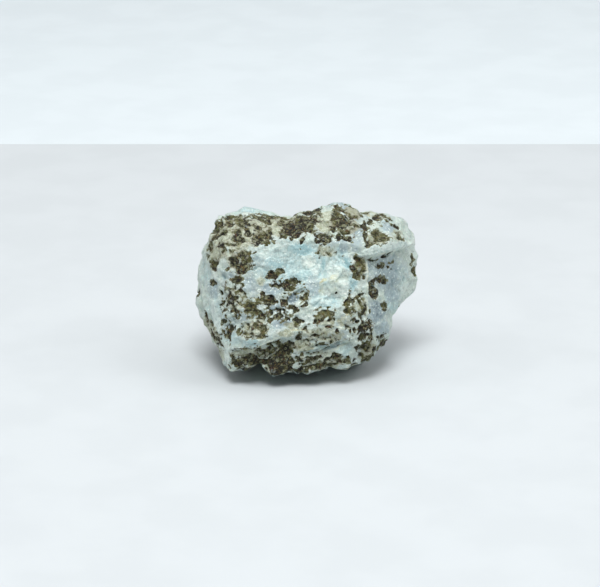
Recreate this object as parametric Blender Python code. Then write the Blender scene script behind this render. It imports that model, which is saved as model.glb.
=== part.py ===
"""A rough chunk of larimar: one broken block of pale blue pectolite with dark basalt, as one solid.

The block is a closed surface around its heart, a point inside it. Its corners, the places where
broken faces meet, are given by hand. Flat faces join them, the edges between the faces are worn a
little, and ledges, lumps and chips are added on top. It rests on flats at the bottom.
"""

import math

import bmesh
import bpy
import numpy as np
from mathutils import Vector

MM = 0.001

# Corners and details are given in the frame of the broad broken face, which leans back from
# upright. Each place is (across, up, out) in millimetres: across to the right, up along the face,
# and out of the face. STAND is where the frame's origin stands in the part's own frame, whose origin
# is on the ground under the middle of the stone.
FACE_LEAN = math.radians(20.0)
STAND = (-0.2, -4.7, 2.4)
HEART = (0.0, 13.5, 0.0)

TOP_RIM = (
    (-17.3, 28.7, 3.0),
    (-13.4, 28.9, 3.0),
    (-9.4, 29.0, 2.0),
    (-5.7, 28.4, 2.0),
    (-3.0, 28.0, 2.0),
    (-0.6, 29.4, 3.0),
    (3.2, 30.5, 3.0),
    (6.8, 31.9, 3.0),
    (9.6, 31.6, 2.0),
    (11.4, 29.9, 1.0),
    (14.2, 29.3, 0.0),
    (17.3, 28.8, -1.0),
    (19.7, 28.1, -2.0),
    (21.0, 25.6, -2.0),
    (22.5, 23.4, -2.0),
)
CRUST_BEVEL = (
    (-16.1, 26.5, 8.0),
    (-10.4, 26.7, 8.2),
    (-4.3, 26.3, 8.2),
    (1.8, 27.0, 8.5),
    (6.9, 27.6, 8.5),
    (12.0, 26.9, 6.5),
    (17.3, 26.3, 4.0),
)
BREAK_EDGE = (
    (-19.2, 24.4, 7.0),
    (-16.5, 23.2, 11.0),
    (-12.2, 23.0, 12.3),
    (-7.5, 23.6, 12.2),
    (-3.0, 23.8, 12.2),
    (1.5, 23.4, 12.4),
    (6.0, 22.8, 12.4),
    (9.6, 22.4, 12.2),
    (12.2, 21.8, 11.6),
    (16.1, 22.8, 8.6),
    (19.3, 23.5, 4.8),
)
BROAD_FACE = (
    (-16.5, 19.1, 12.2),
    (-12.4, 17.9, 13.3),
    (-6.0, 18.6, 12.9),
    (0.5, 18.8, 12.6),
    (7.9, 18.5, 12.8),
    (12.2, 17.9, 12.2),
    (-19.0, 14.5, 9.0),
    (-15.1, 13.8, 13.0),
    (-9.8, 14.0, 13.4),
    (-3.0, 13.8, 13.4),
    (5.0, 13.6, 13.8),
    (12.4, 13.4, 12.6),
    (-18.7, 11.0, 9.5),
    (-15.5, 9.0, 13.2),
    (-8.5, 9.2, 13.9),
    (0.0, 9.0, 14.2),
    (7.0, 9.0, 14.0),
    (12.4, 9.0, 12.2),
)
LOWER_LIP = (
    (-17.7, 6.9, 10.0),
    (-14.5, 3.7, 13.0),
    (-11.0, 3.2, 14.4),
    (-6.3, 4.2, 14.8),
    (-1.2, 5.2, 14.6),
    (4.9, 5.8, 14.2),
    (9.4, 5.7, 13.0),
    (12.6, 4.9, 11.0),
)
UNDERCUT = (
    (-15.1, 0.8, 12.0),
    (-11.0, 0.8, 12.6),
    (-6.3, 1.2, 13.0),
    (-1.2, 1.8, 13.2),
    (4.9, 2.0, 12.8),
    (9.4, 1.2, 11.5),
    (13.2, 2.0, 8.5),
)
BOTTOM_RIM = (
    (-15.3, -2.9, 9.8),
    (-12.8, -3.2, 10.6),
    (-9.6, -1.7, 11.0),
    (-6.7, -3.7, 11.6),
    (-3.3, -3.2, 11.4),
    (0.0, -3.4, 11.0),
    (4.5, -1.8, 10.9),
    (7.5, -2.4, 10.2),
    (10.6, -1.3, 8.4),
    (13.5, 0.1, 5.8),
    (16.2, 2.8, 3.0),
    (17.2, 5.4, 2.0),
    (18.2, 9.0, 1.0),
)
RIGHT_SIDE = (
    (13.2, 19.2, 10.2),
    (17.1, 20.0, 5.5),
    (21.4, 21.2, 0.5),
    (22.9, 19.2, -2.0),
    (23.0, 15.8, -3.0),
    (22.0, 12.3, -3.0),
    (19.8, 11.0, -1.0),
    (14.2, 14.5, 9.4),
    (17.7, 15.1, 4.6),
    (14.6, 10.0, 8.6),
    (16.9, 10.2, 4.4),
    (14.5, 6.0, 8.2),
    (16.1, 4.3, 4.8),
)
LEFT_SIDE = (
    (-19.4, 24.2, 4.0),
    (-19.8, 21.2, 6.0),
    (-19.8, 17.5, 6.0),
    (-21.0, 20.6, -1.0),
    (-21.7, 18.7, -2.0),
    (-21.8, 16.3, -1.0),
    (-21.0, 13.6, 1.5),
    (-22.6, 10.9, 0.0),
    (-20.0, 5.5, 1.0),
    (-16.9, -0.7, 5.0),
    (-18.7, 4.3, 6.0),
    (-20.6, 10.4, 5.0),
)
TOP = (
    (-16.4, 29.0, -6.5),
    (-12.4, 30.9, -6.5),
    (-9.0, 30.0, -7.0),
    (-5.8, 28.7, -7.0),
    (-14.0, 28.0, -1.5),
    (-8.5, 27.8, -1.5),
    (-3.0, 27.3, -3.0),
    (-10.5, 26.5, -11.0),
    (1.0, 27.6, -7.0),
    (8.0, 28.9, -6.0),
    (15.5, 25.9, -9.0),
)
BACK = (
    (-17.0, 22.0, -11.0),
    (-6.0, 21.0, -15.0),
    (5.0, 22.0, -15.5),
    (14.0, 20.0, -13.0),
    (-18.5, 13.0, -12.0),
    (-9.0, 12.0, -17.0),
    (2.0, 12.5, -17.5),
    (11.0, 11.0, -15.5),
    (19.0, 13.0, -10.0),
    (-15.0, 6.0, -11.0),
    (-5.0, 5.5, -15.0),
    (6.0, 5.0, -15.0),
    (14.0, 6.0, -9.5),
)
UNDERSIDE = (
    (-12.4, -2.6, 5.0),
    (-9.2, -0.8, 5.5),
    (-5.8, -3.3, 5.5),
    (-12.4, -2.0, -3.0),
    (-9.0, -0.6, -0.5),
    (-5.0, -3.0, 0.4),
    (1.5, -2.4, 1.6),
    (8.0, -2.0, -3.0),
    (-12.0, -1.4, -5.0),
    (-9.5, -0.3, -8.0),
    (-2.0, 0.6, -10.5),
    (5.5, 0.0, -9.0),
    (10.5, -1.8, -4.0),
    (-1.5, -1.7, -2.0),
)
CORNERS = (
    TOP_RIM + CRUST_BEVEL + BREAK_EDGE + BROAD_FACE + LOWER_LIP + UNDERCUT
    + BOTTOM_RIM + RIGHT_SIDE + LEFT_SIDE + TOP + BACK + UNDERSIDE
)

# A ledge follows a line of (across, up) on the broad face's side. Rock above the line stands out
# by lip, rock below it is cut back by drop, and both fade over the given heights.
LOWER_LEFT_LEDGE = ((-14.6, 1.5), (-11.0, 1.4), (-8.9, 2.5), (-6.0, 3.3), (-2.6, 3.9))
LOWER_RIGHT_LEDGE = ((-0.5, 1.0), (3.0, 2.3), (6.5, 3.0), (9.8, 4.2))
SHELF = ((10.5, 20.2), (12.4, 20.0), (15.0, 20.4), (17.0, 21.3), (19.4, 21.9), (22.0, 22.5))
LEDGES = (
    # (line, lip, drop, fade above, fade below)
    (LOWER_LEFT_LEDGE, 0.5, 0.8, 1.6, 2.6),
    (LOWER_RIGHT_LEDGE, 0.35, 0.5, 1.2, 1.6),
    (SHELF, 0.7, 0.9, 2.2, 3.2),
)
LEDGE_EDGE = 0.25
LEDGE_END = 1.5
LEDGE_DEPTH = 4.0

# A lump, or a hollow where its rise is below 0, is centred at a place and fades over its spread.
LUMPS = (
    # (place, spread, rise)
    ((-1.5, 19.6, 12.6), 5.0, -1.1),
    ((6.2, 15.4, 13.8), 3.2, 0.7),
    ((1.4, 17.8, 12.6), 2.0, 0.35),
    ((3.4, 16.9, 13.0), 0.9, -0.4),
    ((-7.5, 13.0, 13.4), 3.6, -0.6),
    ((-14.0, 18.8, 13.0), 2.6, 0.4),
    ((-10.8, 8.2, 13.8), 3.0, 0.5),
    ((-11.4, 3.6, 14.2), 2.2, 0.4),
    ((3.5, 8.0, 14.2), 2.4, 0.4),
    ((8.6, 9.4, 14.0), 2.4, 0.4),
    ((16.0, 14.0, 6.4), 3.0, -0.7),
    ((12.8, 5.5, 11.0), 1.8, 0.5),
    ((-9.6, -1.6, 11.0), 1.1, -0.6),
    ((-6.7, -3.8, 11.4), 1.6, 0.4),
    ((4.5, -1.8, 10.9), 1.4, -0.5),
    ((-12.8, -3.0, 10.4), 1.6, 0.3),
    ((7.6, -2.4, 10.0), 1.6, 0.3),
    ((-8.0, 16.0, -15.0), 5.0, -1.2),
    ((10.0, 9.0, -14.5), 4.0, -0.9),
    ((3.0, 25.5, -10.5), 3.5, 0.8),
    ((-13.0, 24.0, -10.0), 3.0, -0.7),
)

# Chips and swells cover the whole block. Each layer has the size of one, its height and a seed.
CHIPS = ((7.0, 0.35, 11), (3.2, 0.28, 23))
SWELLS = ((8.0, 0.35, 31), (4.0, 0.25, 37))

# The surface is worked out on a fine lattice, whose points crowd towards the broad face, and
# every few of its points are kept. Each pass of wear rounds the edges a little more.
FINE_CELLS = 112
KEEP_EVERY = 4
WEAR_PASSES = 8
CROWDING = 0.15

LARIMAR_BLUE = (0.55, 0.68, 0.68, 1.0)
LARIMAR_ROUGHNESS = 0.5


def face_to_part(points):
    """Places in the leaning face's frame, in the part's own frame and still in millimetres."""
    across, up, out = np.asarray(points, float).T
    lean, stand = math.sin(FACE_LEAN), math.cos(FACE_LEAN)
    turned = np.stack([across, up * lean - out * stand, up * stand + out * lean], axis=1)
    return turned + np.array(STAND)


def ball_lattice(cells):
    """Directions through the points of a cube's skin with that many cells a side, and its quads."""
    steps = np.arange(cells + 1)
    grid = np.stack(np.meshgrid(steps, steps, steps, indexing="ij"), axis=-1)
    on_skin = (grid % cells == 0).any(axis=-1)
    number = np.full(on_skin.shape, -1)
    number[on_skin] = np.arange(on_skin.sum())
    quads = []
    for axis in range(3):
        for side in (0, cells):
            sheet = np.moveaxis(number, axis, 0)[side]
            quad = np.stack([sheet[:-1, :-1], sheet[1:, :-1], sheet[1:, 1:], sheet[:-1, 1:]], axis=-1)
            faces_out = (side == cells) != (axis == 1)
            quads.append(quad.reshape(-1, 4)[:, :: 1 if faces_out else -1])
    spread = np.tan((grid[on_skin] * 2.0 / cells - 1.0) * math.pi / 4)
    spread /= np.linalg.norm(spread, axis=1, keepdims=True)
    spread[:, 2] += CROWDING
    return spread / np.linalg.norm(spread, axis=1, keepdims=True), np.concatenate(quads), grid[on_skin]


def flat_faces(corners):
    """The triangles that join the corners, as seen from the heart of the block."""
    shell = bmesh.new()
    for corner in corners:
        shell.verts.new(Vector(corner).normalized())
    shell.verts.index_update()
    bmesh.ops.convex_hull(shell, input=shell.verts)
    faces = np.array([[v.index for v in face.verts] for face in shell.faces])
    shell.free()
    return faces


def reach(directions, corners, faces):
    """How far the flat faces lie from the heart in each direction."""
    far = np.zeros(len(directions))
    for face in faces:
        shares = directions @ np.linalg.inv(corners[face])
        inside = shares.min(axis=1) > -1e-6
        far[inside] = 1.0 / shares[inside].sum(axis=1)
    return far


def worn(values, quads, passes):
    """Values on the lattice, each moved halfway to the mean of its neighbours, that many times."""
    ends = np.concatenate([quads[:, [0, 1]], quads[:, [1, 2]]])
    count = np.bincount(ends.ravel(), minlength=len(values))
    for _ in range(passes):
        near = np.bincount(ends[:, 0], values[ends[:, 1]], len(values))
        near += np.bincount(ends[:, 1], values[ends[:, 0]], len(values))
        values = (values + near / count) / 2
    return values


def smooth_step(low, high, values):
    """0 below low, 1 above high, and a smooth rise between them."""
    share = np.clip((values - low) / (high - low), 0.0, 1.0)
    return share * share * (3.0 - 2.0 * share)


def scattered(cells, seed):
    """A repeatable number from 0 to 1 for each whole-numbered cell."""
    x, y, z = (cells[..., k].astype(np.int64) for k in range(3))
    mixed = (x * 73856093) ^ (y * 19349663) ^ (z * 83492791) ^ (seed * 2654435761)
    mixed = ((mixed ^ (mixed >> 13)) * 1274126177) & 0xFFFFFFFF
    mixed = ((mixed ^ (mixed >> 16)) * 2246822519) & 0xFFFFFFFF
    return (mixed ^ (mixed >> 15)) / 4294967295.0


def steps_to(cells):
    """The whole-numbered steps to the cells around a cell, where each side takes the given steps."""
    return np.stack(np.meshgrid(*[cells] * 3, indexing="ij"), axis=-1).reshape(-1, 3)


def rolling(points, size, seed):
    """Smooth noise from about -1 to 1: slopes set at the points of a lattice, and eased between them."""
    at = points / size
    cell = np.floor(at).astype(np.int64)
    inner = at - cell
    ease = inner**3 * (inner * (inner * 6 - 15) + 10)
    total = np.zeros(len(points))
    for step in steps_to((0, 1)):
        corner = cell + step
        slope = np.stack([scattered(corner, seed + k) * 2 - 1 for k in range(3)], axis=-1)
        share = np.where(step == 1, ease, 1 - ease).prod(axis=1)
        total += share * (slope * (inner - step)).sum(axis=1)
    return total * 1.6


def scallops(points, size, seed, hollow=0.7):
    """Broken-stone relief from about -1 to 1: the lowest of the tilted shallow dishes set near a point,
    so that each is a smooth hollow and they meet in sharp ridges."""
    at = points / size
    cell = np.floor(at).astype(np.int64)
    lowest = np.full(len(points), np.inf)
    for step in steps_to((-1, 0, 1)):
        near = cell + step
        middle = near + np.stack([scattered(near, seed + k) for k in range(3)], axis=-1)
        tilt = np.stack([scattered(near, seed + 3 + k) * 2 - 1 for k in range(3)], axis=-1)
        away = at - middle
        dish = scattered(near, seed + 6) - 0.5 + 0.5 * (tilt * away).sum(axis=1)
        lowest = np.minimum(lowest, dish + hollow * (away**2).sum(axis=1))
    return lowest * 1.6


def ledge(points, line, lip, drop, fade_above, fade_below):
    """A step along a line on the broad face's side: out by lip above it and back by drop below it."""
    line = np.array(line)
    place = points[:, :2]
    nearest = np.full(len(points), np.inf)
    height = np.zeros(len(points))
    for start, end in zip(line[:-1], line[1:]):
        run = end - start
        share = np.clip((place - start) @ run / (run @ run), 0, 1)
        away = place - start - share[:, None] * run
        distance = np.hypot(*away.T)
        side = np.sign(run[0] * (place[:, 1] - start[1]) - run[1] * (place[:, 0] - start[0]))
        closer = distance < nearest
        height = np.where(closer, side * distance, height)
        nearest = np.minimum(nearest, distance)
    past_end = np.maximum(line[0, 0] - place[:, 0], place[:, 0] - line[-1, 0])
    fade = 1 - smooth_step(-LEDGE_END, LEDGE_END, past_end)
    fade *= smooth_step(-LEDGE_DEPTH, 0.0, points[:, 2])
    above = lip * np.exp(-np.maximum(height, 0) / fade_above)
    below = -drop * np.exp(np.minimum(height, 0) / fade_below)
    return fade * (below + (above - below) * smooth_step(-LEDGE_EDGE, LEDGE_EDGE, height))


def relief(points):
    """How far ledges, lumps and chips move the worn block outwards, in millimetres."""
    moved = np.zeros(len(points))
    for size, height, seed in CHIPS:
        moved += height * scallops(points, size, seed)
    for size, height, seed in SWELLS:
        moved += height * rolling(points, size, seed)
    for form in LEDGES:
        moved += ledge(points, *form)
    for place, spread, rise in LUMPS:
        distance = np.linalg.norm(points - np.array(place), axis=1)
        moved += rise * np.exp(-((distance / spread) ** 2))
    return moved


def stone_mesh():
    """The block's closed mesh: its reach is worn on the fine lattice and kept at every few points."""
    heart = np.array(HEART)
    corners = np.array(CORNERS) - heart
    directions, fine_quads, grid = ball_lattice(FINE_CELLS)
    far = worn(reach(directions, corners, flat_faces(corners)), fine_quads, WEAR_PASSES)
    kept = (grid % KEEP_EVERY == 0).all(axis=1)
    directions, far = directions[kept], far[kept]
    far += relief(heart + directions * far[:, None])
    places = face_to_part(heart + directions * far[:, None])
    places[:, 2] = np.maximum(places[:, 2], 0.0)
    quads = ball_lattice(FINE_CELLS // KEEP_EVERY)[1]
    mesh = bpy.data.meshes.new("stone")
    mesh.from_pydata((places * MM).tolist(), [], quads.tolist())
    mesh.shade_smooth()
    return mesh


def stone_material():
    """Waxy pale blue pectolite, the stone's main mineral."""
    material = bpy.data.materials.new("larimar")
    material.use_nodes = True
    shader = material.node_tree.nodes["Principled BSDF"]
    shader.inputs["Base Color"].default_value = LARIMAR_BLUE
    shader.inputs["Roughness"].default_value = LARIMAR_ROUGHNESS
    shader.inputs["Metallic"].default_value = 0.0
    return material


def clear_scene():
    """Remove every object that is already in the scene."""
    for item in list(bpy.data.objects):
        bpy.data.objects.remove(item, do_unlink=True)


def main():
    """Build the stone as one object at the origin."""
    clear_scene()
    stone = bpy.data.objects.new("stone", stone_mesh())
    stone.data.materials.append(stone_material())
    bpy.context.scene.collection.objects.link(stone)


if __name__ == "__main__":
    main()
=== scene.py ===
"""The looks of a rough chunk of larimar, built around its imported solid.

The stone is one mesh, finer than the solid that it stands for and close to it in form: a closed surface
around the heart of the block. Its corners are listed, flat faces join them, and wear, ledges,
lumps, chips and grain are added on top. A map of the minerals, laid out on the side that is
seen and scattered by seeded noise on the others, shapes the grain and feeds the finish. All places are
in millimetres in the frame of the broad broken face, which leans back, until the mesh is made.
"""

import logging
import math
from dataclasses import dataclass
from enum import Enum
from functools import cached_property

import bmesh
import bpy
import numpy as np
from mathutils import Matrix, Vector


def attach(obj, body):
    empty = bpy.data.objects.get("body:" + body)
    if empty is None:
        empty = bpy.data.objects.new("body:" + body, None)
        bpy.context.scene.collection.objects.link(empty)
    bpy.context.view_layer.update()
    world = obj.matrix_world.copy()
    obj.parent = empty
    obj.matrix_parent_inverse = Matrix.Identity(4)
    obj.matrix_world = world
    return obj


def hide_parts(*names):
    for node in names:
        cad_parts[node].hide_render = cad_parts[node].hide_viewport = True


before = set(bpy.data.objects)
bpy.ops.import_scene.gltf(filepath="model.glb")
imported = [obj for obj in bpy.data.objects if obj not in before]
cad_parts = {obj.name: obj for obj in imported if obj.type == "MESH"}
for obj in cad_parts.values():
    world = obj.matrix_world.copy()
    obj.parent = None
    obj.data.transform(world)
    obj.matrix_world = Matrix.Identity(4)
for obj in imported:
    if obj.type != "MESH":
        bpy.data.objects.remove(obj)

Array = np.ndarray
Place = tuple[float, float, float]
Span = tuple[float, float]
Line = tuple[Span, ...]
Rows = tuple[tuple[float, ...], ...]
# The (size, height, seed) of each noise in a sum.
Octaves = tuple[tuple[float, float, int], ...]
Tone = tuple[int, int, int]
Link = "float | Value | bpy.types.NodeSocket"

LOG = logging.getLogger("larimar")
MM = 0.001
NODE = "stone"
BODY = "root"

# The corners of the block, where its broken faces meet: (across, up, out).
TOP_RIM = (
    (-17.3, 28.7, 3.0),
    (-13.4, 28.9, 3.0),
    (-9.4, 29.0, 2.0),
    (-5.7, 28.4, 2.0),
    (-3.0, 28.0, 2.0),
    (-0.6, 29.4, 3.0),
    (3.2, 30.5, 3.0),
    (6.8, 31.9, 3.0),
    (9.6, 31.6, 2.0),
    (11.4, 29.9, 1.0),
    (14.2, 29.3, 0.0),
    (17.3, 28.8, -1.0),
    (19.7, 28.1, -2.0),
    (21.0, 25.6, -2.0),
    (22.5, 23.4, -2.0),
)
CRUST_BEVEL = (
    (-16.1, 26.5, 8.0),
    (-10.4, 26.7, 8.2),
    (-4.3, 26.3, 8.2),
    (1.8, 27.0, 8.5),
    (6.9, 27.6, 8.5),
    (12.0, 26.9, 6.5),
    (17.3, 26.3, 4.0),
)
BREAK_EDGE = (
    (-19.2, 24.4, 7.0),
    (-16.5, 23.2, 11.0),
    (-12.2, 23.0, 12.3),
    (-7.5, 23.6, 12.2),
    (-3.0, 23.8, 12.2),
    (1.5, 23.4, 12.4),
    (6.0, 22.8, 12.4),
    (9.6, 22.4, 12.2),
    (12.2, 21.8, 11.6),
    (16.1, 22.8, 8.6),
    (19.3, 23.5, 4.8),
)
BROAD_FACE = (
    (-16.5, 19.1, 12.2),
    (-12.4, 17.9, 13.3),
    (-6.0, 18.6, 12.9),
    (0.5, 18.8, 12.6),
    (7.9, 18.5, 12.8),
    (12.2, 17.9, 12.2),
    (-19.0, 14.5, 9.0),
    (-15.1, 13.8, 13.0),
    (-9.8, 14.0, 13.4),
    (-3.0, 13.8, 13.4),
    (5.0, 13.6, 13.8),
    (12.4, 13.4, 12.6),
    (-18.7, 11.0, 9.5),
    (-15.5, 9.0, 13.2),
    (-8.5, 9.2, 13.9),
    (0.0, 9.0, 14.2),
    (7.0, 9.0, 14.0),
    (12.4, 9.0, 12.2),
)
LOWER_LIP = (
    (-17.7, 6.9, 10.0),
    (-14.5, 3.7, 13.0),
    (-11.0, 3.2, 14.4),
    (-6.3, 4.2, 14.8),
    (-1.2, 5.2, 14.6),
    (4.9, 5.8, 14.2),
    (9.4, 5.7, 13.0),
    (12.6, 4.9, 11.0),
)
UNDERCUT = (
    (-15.1, 0.8, 12.0),
    (-11.0, 0.8, 12.6),
    (-6.3, 1.2, 13.0),
    (-1.2, 1.8, 13.2),
    (4.9, 2.0, 12.8),
    (9.4, 1.2, 11.5),
    (13.2, 2.0, 8.5),
)
BOTTOM_RIM = (
    (-15.3, -2.9, 9.8),
    (-12.8, -3.2, 10.6),
    (-9.6, -1.7, 11.0),
    (-6.7, -3.7, 11.6),
    (-3.3, -3.2, 11.4),
    (0.0, -3.4, 11.0),
    (4.5, -1.8, 10.9),
    (7.5, -2.4, 10.2),
    (10.6, -1.3, 8.4),
    (13.5, 0.1, 5.8),
    (16.2, 2.8, 3.0),
    (17.2, 5.4, 2.0),
    (18.2, 9.0, 1.0),
)
RIGHT_SIDE = (
    (13.2, 19.2, 10.2),
    (17.1, 20.0, 5.5),
    (21.4, 21.2, 0.5),
    (22.9, 19.2, -2.0),
    (23.0, 15.8, -3.0),
    (22.0, 12.3, -3.0),
    (19.8, 11.0, -1.0),
    (14.2, 14.5, 9.4),
    (17.7, 15.1, 4.6),
    (14.6, 10.0, 8.6),
    (16.9, 10.2, 4.4),
    (14.5, 6.0, 8.2),
    (16.1, 4.3, 4.8),
)
LEFT_SIDE = (
    (-19.4, 24.2, 4.0),
    (-19.8, 21.2, 6.0),
    (-19.8, 17.5, 6.0),
    (-21.0, 20.6, -1.0),
    (-21.7, 18.7, -2.0),
    (-21.8, 16.3, -1.0),
    (-21.0, 13.6, 1.5),
    (-22.6, 10.9, 0.0),
    (-20.0, 5.5, 1.0),
    (-16.9, -0.7, 5.0),
    (-18.7, 4.3, 6.0),
    (-20.6, 10.4, 5.0),
)
TOP = (
    (-16.4, 29.0, -6.5),
    (-12.4, 30.9, -6.5),
    (-9.0, 30.0, -7.0),
    (-5.8, 28.7, -7.0),
    (-14.0, 28.0, -1.5),
    (-8.5, 27.8, -1.5),
    (-3.0, 27.3, -3.0),
    (-10.5, 26.5, -11.0),
    (1.0, 27.6, -7.0),
    (8.0, 28.9, -6.0),
    (15.5, 25.9, -9.0),
)
BACK = (
    (-17.0, 22.0, -11.0),
    (-6.0, 21.0, -15.0),
    (5.0, 22.0, -15.5),
    (14.0, 20.0, -13.0),
    (-18.5, 13.0, -12.0),
    (-9.0, 12.0, -17.0),
    (2.0, 12.5, -17.5),
    (11.0, 11.0, -15.5),
    (19.0, 13.0, -10.0),
    (-15.0, 6.0, -11.0),
    (-5.0, 5.5, -15.0),
    (6.0, 5.0, -15.0),
    (14.0, 6.0, -9.5),
)
UNDERSIDE = (
    (-12.4, -2.6, 5.0),
    (-9.2, -0.8, 5.5),
    (-5.8, -3.3, 5.5),
    (-12.4, -2.0, -3.0),
    (-9.0, -0.6, -0.5),
    (-5.0, -3.0, 0.4),
    (1.5, -2.4, 1.6),
    (8.0, -2.0, -3.0),
    (-12.0, -1.4, -5.0),
    (-9.5, -0.3, -8.0),
    (-2.0, 0.6, -10.5),
    (5.5, 0.0, -9.0),
    (10.5, -1.8, -4.0),
    (-1.5, -1.7, -2.0),
)
CORNERS = (
    TOP_RIM + CRUST_BEVEL + BREAK_EDGE + BROAD_FACE + LOWER_LIP + UNDERCUT
    + BOTTOM_RIM + RIGHT_SIDE + LEFT_SIDE + TOP + BACK + UNDERSIDE
)

# The lines that the block's ledges follow: (across, up).
LOWER_LEFT_LEDGE = ((-14.6, 1.5), (-11.0, 1.4), (-8.9, 2.5), (-6.0, 3.3), (-2.6, 3.9))
LOWER_RIGHT_LEDGE = ((-0.5, 1.0), (3.0, 2.3), (6.5, 3.0), (9.8, 4.2))
SHELF = ((10.5, 20.2), (12.4, 20.0), (15.0, 20.4), (17.0, 21.3), (19.4, 21.9), (22.0, 22.5))
LEDGES = (
    # (line, lip, drop, fade above, fade below)
    (LOWER_LEFT_LEDGE, 0.5, 0.8, 1.6, 2.6),
    (LOWER_RIGHT_LEDGE, 0.35, 0.5, 1.2, 1.6),
    (SHELF, 0.7, 0.9, 2.2, 3.2),
)

# A lump, or a hollow where its rise is below 0, is centred at a place and fades over its spread.
LUMPS = (
    # (place, spread, rise)
    ((-1.5, 19.6, 12.6), 5.0, -1.1),
    ((6.2, 15.4, 13.8), 3.2, 0.1),
    ((1.4, 17.8, 12.6), 2.0, 0.35),
    ((3.4, 16.9, 13.0), 0.9, -0.4),
    ((-7.5, 13.0, 13.4), 3.6, -0.6),
    ((-14.0, 18.8, 13.0), 2.6, 0.4),
    ((-10.8, 8.2, 13.8), 3.0, 0.5),
    ((-11.4, 3.6, 14.2), 2.2, 0.4),
    ((3.5, 8.0, 14.2), 2.4, 0.4),
    ((8.6, 9.4, 14.0), 2.4, 0.4),
    ((16.0, 14.0, 6.4), 3.0, -0.7),
    ((12.8, 5.5, 11.0), 1.8, 0.5),
    ((-9.6, -1.6, 11.0), 1.1, -0.6),
    ((-6.7, -3.8, 11.4), 1.6, 0.4),
    ((4.5, -1.8, 10.9), 1.4, -0.5),
    ((-12.8, -3.0, 10.4), 1.6, 0.3),
    ((7.6, -2.4, 10.0), 1.6, 0.3),
    ((-8.0, 16.0, -15.0), 5.0, -1.2),
    ((10.0, 9.0, -14.5), 4.0, -0.9),
    ((3.0, 25.5, -10.5), 3.5, 0.8),
    ((-13.0, 24.0, -10.0), 3.0, -0.7),
    ((7.8, 31.8, 2.5), 2.4, -0.5),
    ((22.4, 16.5, -2.0), 4.0, -0.4),
)

# Patches of dark basalt on the side that is seen. Each is an ellipse that grows into the rock:
# (across, up, half its width, half its height, turn in degrees, darkness, how broken up it is).
CREST_PATCHES = (
    (-11.9, 27.7, 0.8, 1.1, 0, 0.6, 0.15),
    (-10.2, 26.1, 0.8, 0.6, 0, 0.6, 0.2),
    (-15.7, 27.3, 1.0, 0.8, 0, 0.6, 0.15),
    (-11.0, 28.2, 1.0, 0.5, 0, 0.5, 0.1),
    (-8.1, 28.9, 2.0, 0.5, -8, 0.4, 0.1),
    (-16.0, 27.5, 1.2, 1.1, 0, 0.62, 0.1),
    (-16.7, 28.2, 0.9, 0.4, 30, 0.52, 0.1),
    (-14.1, 28.3, 2.8, 0.3, 2, 0.52, 0.1),
    (-14.3, 26.5, 2.7, 0.5, 0, 0.67, 0.1),
    (-13.6, 27.5, 1.1, 0.7, 0, 0.22, 0.45),
    (-12.0, 27.6, 1.3, 1.0, 40, 0.67, 0.1),
    (-8.8, 28.2, 3.0, 0.9, -3, 0.52, 0.15),
    (-8.0, 27.4, 1.3, 0.7, -35, 0.52, 0.15),
    (-8.5, 26.3, 0.9, 0.4, -15, 0.67, 0.1),
    (-4.7, 28.2, 1.7, 0.3, -10, 0.52, 0.1),
    (-18.1, 26.3, 1.7, 0.8, 42, 0.62, 0.1),
    (-17.1, 25.3, 1.3, 0.5, 12, 0.62, 0.2),
    (-18.5, 24.5, 0.7, 0.5, 20, 0.52, 0.2),
    (-13.8, 25.2, 1.2, 0.9, 0, 0.67, 0.1),
    (-13.9, 23.9, 1.2, 0.6, -5, 0.87, 0.05),
    (-11.9, 25.8, 0.8, 1.1, 0, 0.87, 0.1),
    (-11.7, 24.6, 0.9, 0.7, 0, 0.62, 0.2),
    (-9.7, 25.8, 0.7, 1.2, 0, 0.77, 0.1),
    (-9.9, 24.0, 1.1, 1.3, 10, 0.77, 0.1),
    (-10.2, 22.8, 0.4, 0.5, 0, 1, 0),
    (-8.0, 24.6, 1.7, 1.1, 0, 0.62, 0.2),
    (-8.1, 23.1, 0.9, 0.5, 0, 0.37, 0.2),
    (-4.8, 24.6, 1.0, 1.0, 0, 0.47, 0.1),
    (-4.9, 26.9, 0.7, 0.7, 0, 0.62, 0.2),
    (-2.9, 25.8, 1.9, 2.1, 0, 0.87, 0.12),
    (-1.2, 26.7, 1.9, 1.8, 0, 0.72, 0.2),
    (0.8, 25.9, 1.7, 1.1, 0, 0.52, 0.3),
    (-0.8, 23.4, 0.9, 0.5, 65, 0.92, 0),
    (-16.9, 22.7, 0.7, 0.4, -15, 0.97, 0),
    (-15.1, 22.5, 1.2, 0.3, -5, 0.72, 0.1),
    (-18.7, 24.0, 0.4, 0.9, -10, 0.72, 0.2),
    (-19.1, 22.9, 0.6, 0.5, 0, 0.47, 0.2),
)
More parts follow.
